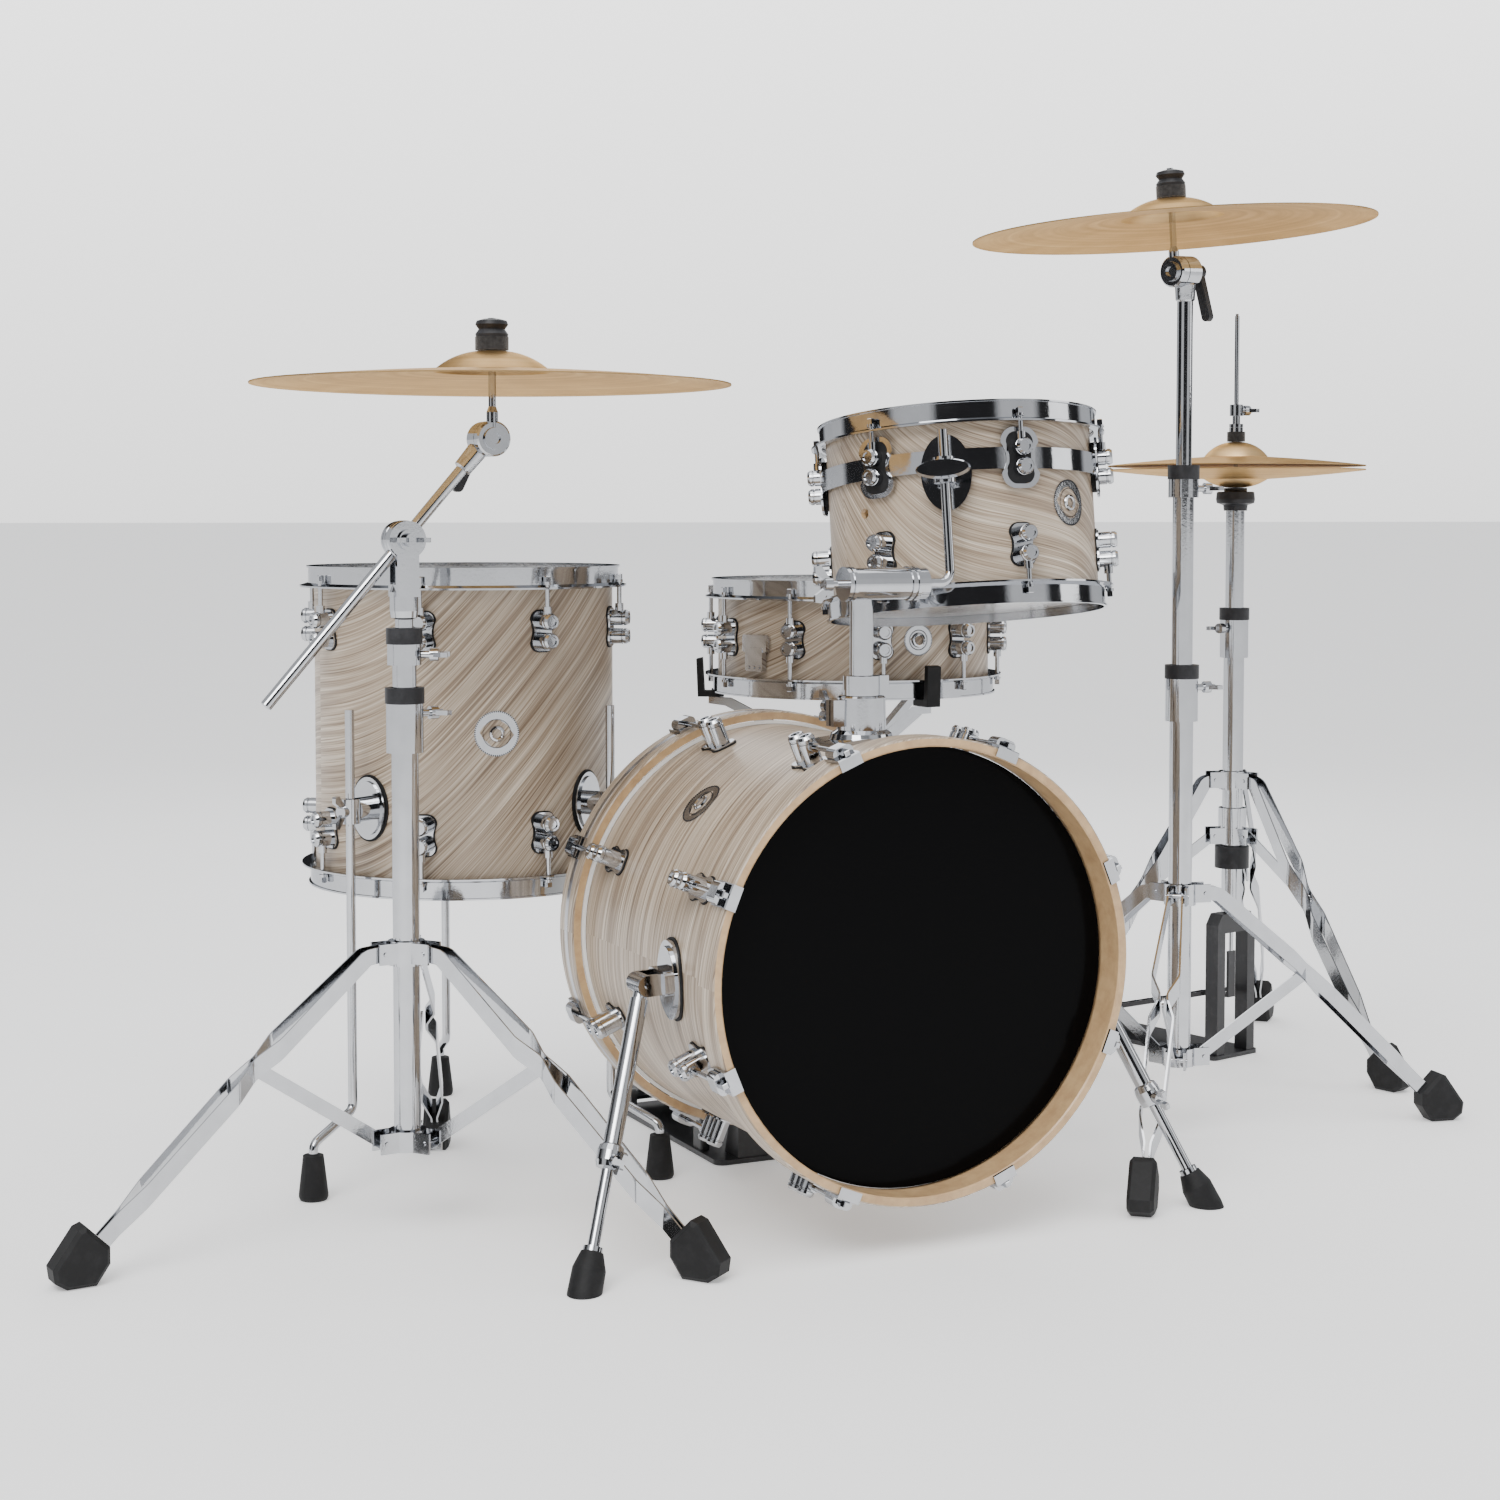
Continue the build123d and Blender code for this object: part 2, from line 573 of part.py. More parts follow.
# ---------------------------------------------------------------- floor tom
floor_tom = frame_at(FLOOR_TOM_X, FLOOR_TOM_Y, FLOOR_TOM_Z)
shell("floor_tom_shell", floor_tom, FLOOR_TOM_RADIUS, FLOOR_TOM_DEPTH, 150)
heads("floor_tom_heads", floor_tom, FLOOR_TOM_RADIUS, FLOOR_TOM_DEPTH)
flanged_hoops("floor_tom_hoops", floor_tom, FLOOR_TOM_RADIUS, FLOOR_TOM_DEPTH, FLOOR_TOM_LUG_ANGLES)
tom_lugs("floor_tom_lugs", floor_tom, FLOOR_TOM_RADIUS, FLOOR_TOM_DEPTH, FLOOR_TOM_LUG_ANGLES,
         TOM_LUG_INSET + 8, TOM_LUG)

LEG_RADIUS = 5.25
LEG_OFFSET = 34.0
LEG_TOP = 545.0
LEG_BEND_Z = 88.0
LEG_FOOT_STEP = 68.0
LEG_BRACKET_Z = 430.0

with BuildPart() as floor_tom_brackets:
    for angle in FLOOR_TOM_LEG_ANGLES:
        base = outward(floor_tom, FLOOR_TOM_RADIUS + 1.0, angle, LEG_BRACKET_Z - FLOOR_TOM_Z)
        for lift, wide, tall in ((0, 24, 36), (2.5, 20, 31)):
            with BuildSketch(base.offset(lift)):
                Ellipse(wide, tall)
            extrude(amount=2.5)
        with BuildSketch(base):
            Circle(14)
        extrude(amount=LEG_OFFSET - 6)
        grip = lengthwise(floor_tom, FLOOR_TOM_RADIUS + LEG_OFFSET, angle, LEG_BRACKET_Z - FLOOR_TOM_Z - 14)
        ring(grip, 0, 11.5, 0, 28)
        wing_bolt(Plane(grip.from_local_coords(Vector(4, 0, 14)), x_dir=base.y_dir, z_dir=base.z_dir), 4, 38)
        with BuildSketch(shifted(grip, 0, 0, -20)):
            Circle(LEG_RADIUS + FIT)
        extrude(amount=70, mode=Mode.SUBTRACT)
save(floor_tom_brackets, "floor_tom_brackets")

with BuildPart() as floor_tom_legs:
    for angle in FLOOR_TOM_LEG_ANGLES:
        leg = frame_at(FLOOR_TOM_X, FLOOR_TOM_Y, 0, angle)
        near = FLOOR_TOM_RADIUS + LEG_OFFSET
        far = near + LEG_FOOT_STEP
        points = [(near, 0, LEG_TOP), (near, 0, LEG_BEND_Z), (far, 0, LEG_BEND_Z - 26), (far, 0, 34)]
        with BuildLine() as leg_path:
            FilletPolyline(*[tuple(leg.from_local_coords(Vector(*p))) for p in points], radius=12)
        top = shifted(leg, near, 0, LEG_TOP)
        with BuildSketch(Plane(top.origin, x_dir=top.x_dir, z_dir=(0, 0, -1))):
            Circle(LEG_RADIUS)
        sweep(path=leg_path.wires()[0])
        turned(shifted(leg, far, 0, 0), [(0, 0), (15, 0), (16.5, 3), (16.5, 7), (11.5, 50),
                                         (LEG_RADIUS + CLEAR, 52), (LEG_RADIUS + CLEAR, 33), (0, 33)])
save(floor_tom_legs, "floor_tom_legs")

# ---------------------------------------------------------------- snare drum
snare = frame_at(SNARE_X, SNARE_Y, SNARE_Z)
shell("snare_shell", snare, SNARE_RADIUS, SNARE_DEPTH, 128)
heads("snare_heads", snare, SNARE_RADIUS, SNARE_DEPTH)
flanged_hoops("snare_hoops", snare, SNARE_RADIUS, SNARE_DEPTH, SNARE_LUG_ANGLES)
tom_lugs("snare_lugs", snare, SNARE_RADIUS, SNARE_DEPTH, SNARE_LUG_ANGLES, SNARE_DEPTH / 2, SNARE_LUG)

with BuildPart() as snare_strainer:
    for angle in (SNARE_STRAINER_ANGLE, SNARE_BUTT_ANGLE):
        base = outward(snare, SNARE_RADIUS + 1.0, angle, -6)
        with BuildSketch(base):
            RectangleRounded(42, 22, 3)
        extrude(amount=7)
        with BuildSketch(shifted(base, 0, -20, 0)):
            RectangleRounded(30, 30, 3)
        extrude(amount=8)
        with BuildSketch(shifted(base, 0, -30, 8)):
            with Locations((-9, 0), (0, 0), (9, 0)):
                Circle(2.4)
        extrude(amount=1.5)
    cheeks = outward(snare, SNARE_RADIUS + 8.0, SNARE_STRAINER_ANGLE, -6)
    for side in (-1, 1):
        with BuildSketch(cheeks):
            with Locations((side * 10, 0)):
                Rectangle(4, 16)
        extrude(amount=13)
    throw_off_pivot = across(shifted(cheeks, 0, 0, 8))
    ring(throw_off_pivot, 0, 2.0, -13, 13)
save(snare_strainer, "snare_strainer")

with BuildPart() as snare_lever:
    with BuildSketch(throw_off_pivot):
        with BuildLine():
            Polyline((-6, -4), (6, -4), (6, 4), (40, 8), (42, 12), (40, 14), (-6, 6), close=True)
        make_face()
        fillet(vertices(), radius=1.2)
        Circle(2.0 + FIT, mode=Mode.SUBTRACT)
    extrude(amount=7, both=True)
save(snare_lever, "snare_lever")

WIRE_COUNT = 20
with BuildPart() as snare_wires:
    bottom_z = SNARE_Z - SNARE_DEPTH / 2 - CLEAR - FILM
    wires = frame_at(SNARE_X, SNARE_Y, bottom_z - 1.6, SNARE_STRAINER_ANGLE)
    for step in range(WIRE_COUNT):
        sideways = (step - (WIRE_COUNT - 1) / 2) * 2.0
        with BuildSketch(Plane(wires.from_local_coords(Vector(-142, sideways, 0)), x_dir=wires.y_dir,
                               z_dir=wires.x_dir)):
            Circle(0.8)
        extrude(amount=284)
    for end in (-150, 142):
        with BuildSketch(wires.offset(-0.9)):
            with Locations((end + 4, 0)):
                Rectangle(12, 46)
        extrude(amount=1.8)
save(snare_wires, "snare_wires")

# ---------------------------------------------------------------- stand building blocks
def strap_band(plane, points, width):
    """Flat band along a path with rounded corners."""
    with BuildSketch(plane) as band:
        with BuildLine():
            FilletPolyline(*points, radius=10)
        trace(line_width=width)
    return band.sketch


def rivet_plane(spot):
    """Plane across a leg at a (reach, height) point, its +Z sideways."""
    return Plane(origin=(spot[0], 0, spot[1]), x_dir=(1, 0, 0), z_dir=(0, -1, 0))


def boot_outline(reach, grow=0.0):
    """Side view of a leg's rubber foot, flat on the floor, optionally grown all round."""
    with BuildSketch(Plane.XZ) as side:
        with BuildLine():
            Polyline((reach - 24, 20), (reach - 10, 0), (reach + 20, 0), (reach + 32, 8), (reach + 34, 22),
                     (reach + 8, 58), (reach, 61), (reach - 24, 37), close=True)
        make_face()
        if grow > 0:
            offset(amount=grow)
    return side.sketch


def bowed_leg(profile, spread, reach, pivot, pinch):
    """A tripod leg along +X: two steel straps on edge, bowed apart twice, rivets and a rubber foot.

    profile is its side view in (reach, height) and spread its plan in (reach, offset). pivot is the
    hole for its upper hinge pin, pinch the rivet where the straps close on the brace's end."""
    side_band = strap_band(Plane.XZ, profile, STRAP_WIDTH)
    with BuildPart() as leg:
        for side in (1, -1):
            plan_band = strap_band(Plane.XY, [(x, side * y) for x, y in spread], STRAP_THICK)
            strap = extrude(plan_band, amount=420, mode=Mode.PRIVATE)
            add(strap & extrude(side_band, amount=60, both=True, mode=Mode.PRIVATE))
        extrude(boot_outline(reach, CLEAR), amount=30, both=True, mode=Mode.SUBTRACT)
        with BuildSketch(rivet_plane(pivot)) as hole:
            Circle(PIN_RADIUS + FIT)
        extrude(hole.sketch, amount=12, both=True, mode=Mode.SUBTRACT)
        for low in (-5.8, 4.2):
            ring(rivet_plane(pinch), 0, 3.8, low, low + 1.6)
        boot = extrude(boot_outline(reach), amount=15, both=True, mode=Mode.PRIVATE)
        rims = boot.edges().group_by(Axis.Y)
        add(boot.chamfer(4, None, rims[0] + rims[-1]))
    return leg.part


def flat_brace(start, end):
    """Flat bar on edge between two pivots given in (reach, height), bored at the lower one."""
    with BuildPart() as bar:
        span = hypot(end[0] - start[0], end[1] - start[1])
        slope = degrees(atan2(end[1] - start[1], end[0] - start[0]))
        with BuildSketch(rivet_plane(((start[0] + end[0]) / 2, (start[1] + end[1]) / 2))):
            SlotCenterToCenter(span, BRACE_WIDTH, rotation=slope)
            with Locations(Rot(0, 0, slope) * Pos(-span / 2, 0)):
                Circle(PIN_RADIUS + FIT, mode=Mode.SUBTRACT)
        extrude(amount=BRACE_THICK / 2, both=True)
    return bar.part


def clevis_ring(frame, low, high, bore, outer, pivot, angles):
    """Collar round a stand tube with a slotted lug and hinge pin for every leg or brace.

    pivot is the pins' (reach, height)."""
    ring(frame, bore, outer, low, high)
    reach = (outer + pivot[0]) / 2 + 1
    for angle in angles:
        turn = radians(angle)
        place = frame_at(0, 0, 0, angle)
        for side in (-1, 1):
            centre = place.from_local_coords(Vector(reach, side * CLEVIS_OFFSET, pivot[1] - 11))
            with BuildSketch(Plane(frame.from_local_coords(centre), x_dir=(cos(turn), sin(turn), 0),
                                   z_dir=(0, 0, 1))) as cheek:
                Rectangle(pivot[0] - outer + 12, 3.0)
            extrude(cheek.sketch, amount=min(22, high - pivot[1] + 11))
        pin = frame.from_local_coords(place.from_local_coords(Vector(pivot[0], 0, pivot[1])))
        ring(Plane(pin, x_dir=(0, 0, 1), z_dir=(-sin(turn), cos(turn), 0)), 0, PIN_RADIUS, -14, 14)


def tube_clamp(frame, low, high, tube, angle):
    """Clamp casting at a tube's top: black bushing over a chrome collar with a wing bolt."""
    ring(frame, tube + CLEAR, tube + 5.4, low, high - 17)
    ring(frame, tube + CLEAR, tube + 6.6, high - 16.8, high)
    wing_bolt(outward(frame, tube + 5.6, angle, high - 28), 9, 30)


def cymbal(name, frame, radius, bell_radius, bow, height, thick=1.4):
    """Cymbal: central hole, domed bell and a bow that falls to the edge, its rim at the frame."""
    with BuildPart() as piece:
        with BuildSketch(section(frame)):
            with BuildLine():
                edges = []
                for drop in (0, thick):
                    hole = (6.5, height - drop)
                    crest = (bell_radius * 0.55, height - 0.21 * (height - bow) - drop)
                    base = (bell_radius, bow - drop)
                    middle = ((bell_radius + radius) / 2, bow * 0.58 - drop)
                    rim = (radius, -drop)
                    ThreePointArc(hole, crest, base)
                    ThreePointArc(base, middle, rim)
                    edges.append((hole, rim))
                Line(edges[0][0], edges[1][0])
                Line(edges[0][1], edges[1][1])
            make_face()
        revolve(axis=Axis(frame.origin, frame.z_dir))
    save(piece, name)


def tilter_head(frame, rise, bell, top):
    """Tilter head with its stem: +X is the tilting axis, +Z the stem; bell is the underside's height.

    The felts, cup washer, sleeve and wing nut on the stem are separate solids."""
    side = across(frame)
    turned(side, [(0, 11.5), (18, 11.5), (19, 12.5), (19, 22), (17, 24), (12, 24), (11.5, 28), (6, 28),
                  (6, 25), (0, 25)])
    stem = shifted(frame, STEM_OFFSET, 0, 0)
    turned(stem, [(0, 10), (6.2, 10), (6.2, rise - 6), (STEM_RADIUS, rise), (STEM_RADIUS, top), (0, top)])
    hole = STEM_RADIUS + 0.4
    ring(stem, hole, 15, bell - 14, bell - 12)
    ring(stem, hole, 17, bell - 11.8, bell - 1.4)
    ring(stem, hole, 17.8, bell + 2.2, bell + 16)
    turned(stem, [(hole, bell + 16.2), (17, bell + 16.2), (17.5, bell + 19), (14, bell + 24),
                  (17.5, bell + 29), (16, bell + 33), (9, bell + 35), (hole, bell + 35)])


def lever_handle(frame, droop):
    """Plastic clamping lever: hub on +Z and an arm that falls along +X by an angle."""
    ring(frame, 0, 9, 0, 12)
    turn = radians(droop)
    with BuildSketch(frame.offset(3)) as arm:
        with Locations((27 * cos(turn), -27 * sin(turn))):
            SlotOverall(70, 12, rotation=-droop)
    extrude(arm.sketch, amount=8)


TRIPOD_PIVOT_REACH = 29.0
STAND_PIVOT = (TRIPOD_PIVOT_REACH, 302.0)
STAND_CASTING = (TRIPOD_PIVOT_REACH, 100.0)
STAND_PINCH = (171.0, 196.0)
STAND_PROFILE = [(22.5, 303), (48, 300), STAND_PINCH, (340, 34)]
STAND_SPREAD = [(22.5, 6), (60, 9), (148, 16), (171, 3.2), (194, 14), (290, 12), (316, 3.4), (345, 3.2)]
STAND_LEG = bowed_leg(STAND_PROFILE, STAND_SPREAD, STAND_LEG_REACH, STAND_PIVOT, STAND_PINCH)
STAND_BRACE = flat_brace(STAND_CASTING, STAND_PINCH)
LOWER_TUBE_TOP = 571.0


def base_tube(name, stand, casting_angles, wing_angle):
    """Lowest tube of a cymbal stand with its bottom casting and the clamp at its top."""
    with BuildPart() as piece:
        ring(stand, LOWER_TUBE - TUBE_WALL, LOWER_TUBE, 88, LOWER_TUBE_TOP + 10)
        clevis_ring(stand, STAND_CASTING[1] - 11, STAND_CASTING[1] + 11, LOWER_TUBE + CLEAR, 20.0,
                    STAND_CASTING, casting_angles)
        tube_clamp(stand, 514, LOWER_TUBE_TOP + 12, LOWER_TUBE, wing_angle)
    save(piece, name)


def mid_tube(name, stand, low, top, wing_angle):
    with BuildPart() as piece:
        ring(stand, MID_TUBE - TUBE_WALL - 1.65, MID_TUBE, low, top)
        tube_clamp(stand, top - 37, top + 2, MID_TUBE, wing_angle)
    save(piece, name)


def tripod_at(stand, angles, leg, brace):
    """Every leg and brace of a tripod, round a stand."""
    places = [frame_at(*stand, 0, angle) for angle in angles]
    with Locations(*places):
        add(leg)
    with Locations(*places):
        add(brace)


# ---------------------------------------------------------------- ride cymbal on its boom stand
ride_stand = frame_at(*RIDE_STAND)
RIDE_MID_TOP = 644.0
base_tube("ride_base_tube", ride_stand, RIDE_LEG_ANGLES, 8)
mid_tube("ride_mid_tube", ride_stand, 262, RIDE_MID_TOP, -25)
with BuildPart() as ride_leg_collar:
    clevis_ring(ride_stand, STAND_PIVOT[1] - 14, STAND_PIVOT[1] + 12, LOWER_TUBE + FIT, 19.5, STAND_PIVOT,
                RIDE_LEG_ANGLES)
save(ride_leg_collar, "ride_leg_collar")
for number, angle in enumerate(RIDE_LEG_ANGLES, start=1):
    for block, label in ((STAND_LEG, "leg"), (STAND_BRACE, "brace")):
        with BuildPart() as ride_link:
            with Locations(frame_at(*RIDE_STAND, 0, angle)):
                add(block)
        save(ride_link, f"ride_{label}_{number}")

BOOM_PIVOT_Z = 739.0
BOOM_ANGLE = 49.0
BOOM_UP = 142.0
BOOM_DOWN = 228.0
boom_turn = radians(BOOM_ANGLE)
boom = Plane(origin=(*RIDE_STAND, BOOM_PIVOT_Z), x_dir=(0, 1, 0),
             z_dir=(cos(boom_turn), 0, sin(boom_turn)))

with BuildPart() as ride_top_tube:
    turned(ride_stand, [(0, 500), (TOP_TUBE, 500), (TOP_TUBE, 655), (14, 657), (15, 664), (15, 684),
                        (11, 694), (0, 694)])
    ears = Plane(origin=(*RIDE_STAND, BOOM_PIVOT_Z), x_dir=(1, 0, 0), z_dir=(0, -1, 0))
    with BuildSketch(ears.offset(-16), ears.offset(10)):
        Circle(20)
        with Locations((0, -30)):
            Rectangle(24, 60)
    extrude(amount=6)
    with BuildSketch(ride_stand.offset(680)):
        Rectangle(24, 32)
    extrude(amount=12)
    wing_bolt(ears.offset(20), 2, 36)
    ring(ears, 0, 11, 16, 21)
    ring(ears, 0, 11, -21, -16)
save(ride_top_tube, "ride_top_tube")

with BuildPart() as ride_boom_clamp:
    turned(Plane(ears.origin, x_dir=ears.x_dir, z_dir=ears.z_dir),
           [(0, -9.5), (18, -9.5), (20.5, -7), (20.5, -1), (19, 0), (20.5, 1), (20.5, 7), (18, 9.5),
            (0, 9.5)])
    with BuildSketch(boom.offset(-30)):
        Circle(BOOM_RADIUS + FIT)
    extrude(amount=60, mode=Mode.SUBTRACT)
save(ride_boom_clamp, "ride_boom_clamp")

ride_tilt_origin = boom.from_local_coords(Vector(0, 0, BOOM_UP))
ride_tilt = Plane(origin=ride_tilt_origin, x_dir=(0, -1, 0), z_dir=(0, 0, 1))
with BuildPart() as ride_boom:
    turned(boom, [(0, -BOOM_DOWN), (4.5, -BOOM_DOWN), (BOOM_RADIUS, 1 - BOOM_DOWN),
                  (BOOM_RADIUS, BOOM_UP - 44), (10, BOOM_UP - 42), (11, BOOM_UP - 18), (9, BOOM_UP - 8),
                  (0, BOOM_UP - 8)])
    ring(across(ride_tilt), 0, 19, -11, 11)
    ring(across(ride_tilt), 0, 12, -18, -11)
    back = Plane(ride_tilt.from_local_coords(Vector(-18.3, 0, 0)), x_dir=(-0.25, 0, -1), z_dir=(0, 1, 0))
    lever_handle(back, -12)
save(ride_boom, "ride_boom")

RIDE_RIM_Z = 904.0
RIDE_HEIGHT = 35.0
with BuildPart() as ride_tilter:
    underside = RIDE_RIM_Z + RIDE_HEIGHT - 1.4 - ride_tilt_origin.Z
    tilter_head(ride_tilt, 34, underside, underside + 36)
save(ride_tilter, "ride_tilter")
ride_plane = frame_at(ride_tilt_origin.X, ride_tilt_origin.Y - STEM_OFFSET, RIDE_RIM_Z)
cymbal("ride_cymbal", ride_plane, 10.0 * INCH, 62, 14, RIDE_HEIGHT)

# ---------------------------------------------------------------- crash cymbal on its straight stand
crash_stand = frame_at(*CRASH_STAND)
CRASH_MID_TOP = 824.0
base_tube("crash_base_tube", crash_stand, CRASH_LEG_ANGLES, -10)
mid_tube("crash_mid_tube", crash_stand, 420, CRASH_MID_TOP, -10)

with BuildPart() as crash_tripod:
    clevis_ring(crash_stand, STAND_PIVOT[1] - 14, STAND_PIVOT[1] + 12, LOWER_TUBE + FIT, 19.5, STAND_PIVOT,
                CRASH_LEG_ANGLES)
    tripod_at(CRASH_STAND, CRASH_LEG_ANGLES, STAND_LEG, STAND_BRACE)
save(crash_tripod, "crash_tripod")

CRASH_TILT_Z = 1060.0
CRASH_TILT_ANGLE = 195.0
CRASH_LEAN = Vector(-0.0505, 0.0238, 0.9984)
tilt_turn = radians(CRASH_TILT_ANGLE)
level_axis = Vector(cos(tilt_turn), sin(tilt_turn), 0)
crash_axis = (level_axis - CRASH_LEAN * level_axis.dot(CRASH_LEAN)).normalized()
crash_tilt = Plane(origin=Vector(*CRASH_STAND, CRASH_TILT_Z) + level_axis * 2, x_dir=crash_axis,
                   z_dir=CRASH_LEAN)

with BuildPart() as crash_top_tube:
    turned(crash_stand, [(0, 640), (TOP_TUBE, 640), (TOP_TUBE, CRASH_TILT_Z - 36),
                         (11.5, CRASH_TILT_Z - 34), (12.5, CRASH_TILT_Z - 16), (10, CRASH_TILT_Z - 6),
                         (0, CRASH_TILT_Z - 6)])
    ring(across(crash_tilt), 0, 19, -11, 11)
    ring(across(crash_tilt), 0, 12, -18, -11)
    back = Plane(crash_tilt.from_local_coords(Vector(-18.3, 0, 0)), x_dir=(0, 0, -1),
                 z_dir=-crash_tilt.x_dir)
    lever_handle(back, 14)
save(crash_top_tube, "crash_top_tube")

CRASH_RIM_RISE = 50.0
CRASH_HEIGHT = 38.0
with BuildPart() as crash_tilter:
    tilter_head(crash_tilt, 30, CRASH_RIM_RISE + CRASH_HEIGHT - 1.4, CRASH_RIM_RISE + CRASH_HEIGHT + 36)
save(crash_tilter, "crash_tilter")
crash_plane = shifted(crash_tilt, STEM_OFFSET, 0, CRASH_RIM_RISE)
cymbal("crash_cymbal", crash_plane, 9.5 * INCH, 62, 16, CRASH_HEIGHT)

# ---------------------------------------------------------------- hi-hat stand
hihat = frame_at(*HIHAT_STAND)
pedal_turn = frame_at(*HIHAT_STAND, 0, HIHAT_PEDAL_ANGLE)
HIHAT_PIVOT = (TRIPOD_PIVOT_REACH, 394.0)
HIHAT_CASTING = (TRIPOD_PIVOT_REACH, 315.0)
HIHAT_PINCH = (132.0, 238.0)
HIHAT_PROFILE = [(21, 395), (42, 390), HIHAT_PINCH, (256, 36)]
HIHAT_SPREAD = [(21, 6), (50, 9), (112, 15), (132, 3.2), (152, 13), (215, 11), (238, 3.4), (262, 3.2)]
HIHAT_LEG = bowed_leg(HIHAT_PROFILE, HIHAT_SPREAD, HIHAT_LEG_REACH, HIHAT_PIVOT, HIHAT_PINCH)
HIHAT_BRACE = flat_brace(HIHAT_CASTING, HIHAT_PINCH)
HIHAT_TUBE_BOTTOM = 206.0
HIHAT_LOWER_TOP = 622.0
HIHAT_ROD_RADIUS = 3.2
HIHAT_TOP_RIM_Z = 835.5
HIHAT_BOTTOM_RIM_Z = 828.5
HIHAT_HEIGHT = 33.0
HIHAT_BOTTOM_HEIGHT = 24.0
HIHAT_SEAT_Z = HIHAT_BOTTOM_RIM_Z - HIHAT_BOTTOM_HEIGHT
HEEL_REACH = 276.0
HEEL_Z = 20.0
TOE_Z = 84.0
TOE_REACH = 30.0
HIHAT_ROD_BOTTOM = 150.0

with BuildPart() as hihat_frame:
    ring(hihat, LOWER_TUBE - TUBE_WALL, LOWER_TUBE, HIHAT_TUBE_BOTTOM, HIHAT_LOWER_TOP)
    tube_clamp(hihat, 566, 636, LOWER_TUBE, 200)
    clevis_ring(hihat, HIHAT_PIVOT[1] - 14, HIHAT_PIVOT[1] + 12, LOWER_TUBE + CLEAR, 19.5, HIHAT_PIVOT,
                HIHAT_LEG_ANGLES)
    clevis_ring(hihat, HIHAT_CASTING[1] - 11, HIHAT_CASTING[1] + 39, LOWER_TUBE + CLEAR, 19.5,
                HIHAT_CASTING, HIHAT_LEG_ANGLES)
    tripod_at(HIHAT_STAND, HIHAT_LEG_ANGLES, HIHAT_LEG, HIHAT_BRACE)
    ring(hihat, LOWER_TUBE + CLEAR, 24, 269, 300)
    with BuildSketch(Plane(pedal_turn.from_local_coords(Vector(-10, 0, 0)), x_dir=pedal_turn.y_dir,
                           z_dir=pedal_turn.x_dir)):
        with BuildLine():
            Polyline((-40, 2), (-24, 2), (-24, 178), (24, 178), (24, 2), (40, 2), (40, 190), (30, 205),
                     (-30, 205), (-40, 190), close=True)
        make_face()
    extrude(amount=22)
    with BuildSketch(hihat.offset(170)):
        Circle(HIHAT_ROD_RADIUS + 0.4)
    extrude(amount=40, mode=Mode.SUBTRACT)
    with BuildSketch(pedal_turn):
        with Locations((146, 0)):
            RectangleRounded(316, 96, 8)
    extrude(amount=6)
    for side in (-1, 1):
        with BuildSketch(Plane(pedal_turn.from_local_coords(Vector(HEEL_REACH, side * 36, 0)),
                               x_dir=pedal_turn.x_dir, z_dir=-pedal_turn.y_dir)):
            with Locations((0, HEEL_Z)):
                Circle(9)
            with Locations((0, HEEL_Z / 2)):
                Rectangle(18, HEEL_Z)
        extrude(amount=4, both=True)
save(hihat_frame, "hihat_frame")

HIHAT_UPPER_TOP = 772.0
with BuildPart() as hihat_upper_tube:
    ring(hihat, 4.5, MID_TUBE, 470, HIHAT_UPPER_TOP)
    turned(hihat, [(4.5, 772.2), (16, 772.2), (17, 780), (26, 783), (27, 788), (26, 798), (24, 799),
                   (4.5, 799)])
    ring(hihat, 6.0, 16, 799.2, HIHAT_SEAT_Z - CLEAR)
save(hihat_upper_tube, "hihat_upper_tube")

with BuildPart() as hihat_rod:
    ring(hihat, 0, HIHAT_ROD_RADIUS - 0.2, HIHAT_ROD_BOTTOM, 930)
    ring(hihat, 0, HIHAT_ROD_RADIUS, 924, 1044)
    ring(hihat, 0, 2.2, 1044, 1047)
    clutch_base = HIHAT_TOP_RIM_Z + HIHAT_HEIGHT
    ring(hihat, HIHAT_ROD_RADIUS + 0.2, 5.2, clutch_base - 24, clutch_base + 36)
    ring(hihat, 5.4, 12.5, clutch_base + 0.5, clutch_base + 14)
    ring(hihat, 5.4, 9.5, clutch_base + 14.2, clutch_base + 20)
    ring(hihat, 5.4, 9.5, clutch_base + 20.3, clutch_base + 25)
    ring(hihat, 5.4, 12.5, clutch_base - 12, clutch_base - 2.8)
    ring(hihat, 5.4, 10, clutch_base - 19, clutch_base - 12.3)
    ring(hihat, HIHAT_ROD_RADIUS + 0.2, 9, clutch_base + 36.2, clutch_base + 52)
    wing_bolt(outward(hihat, 9, 0, clutch_base + 44), 3, 24)
save(hihat_rod, "hihat_rod")
cymbal("hihat_top_cymbal", shifted(hihat, 0, 0, HIHAT_TOP_RIM_Z), 7.0 * INCH, 44, 12, HIHAT_HEIGHT)
upside_down = Plane(origin=(*HIHAT_STAND, HIHAT_BOTTOM_RIM_Z), x_dir=(1, 0, 0), z_dir=(0, 0, -1))
cymbal("hihat_bottom_cymbal", upside_down, 7.0 * INCH, 44, 12, HIHAT_BOTTOM_HEIGHT)

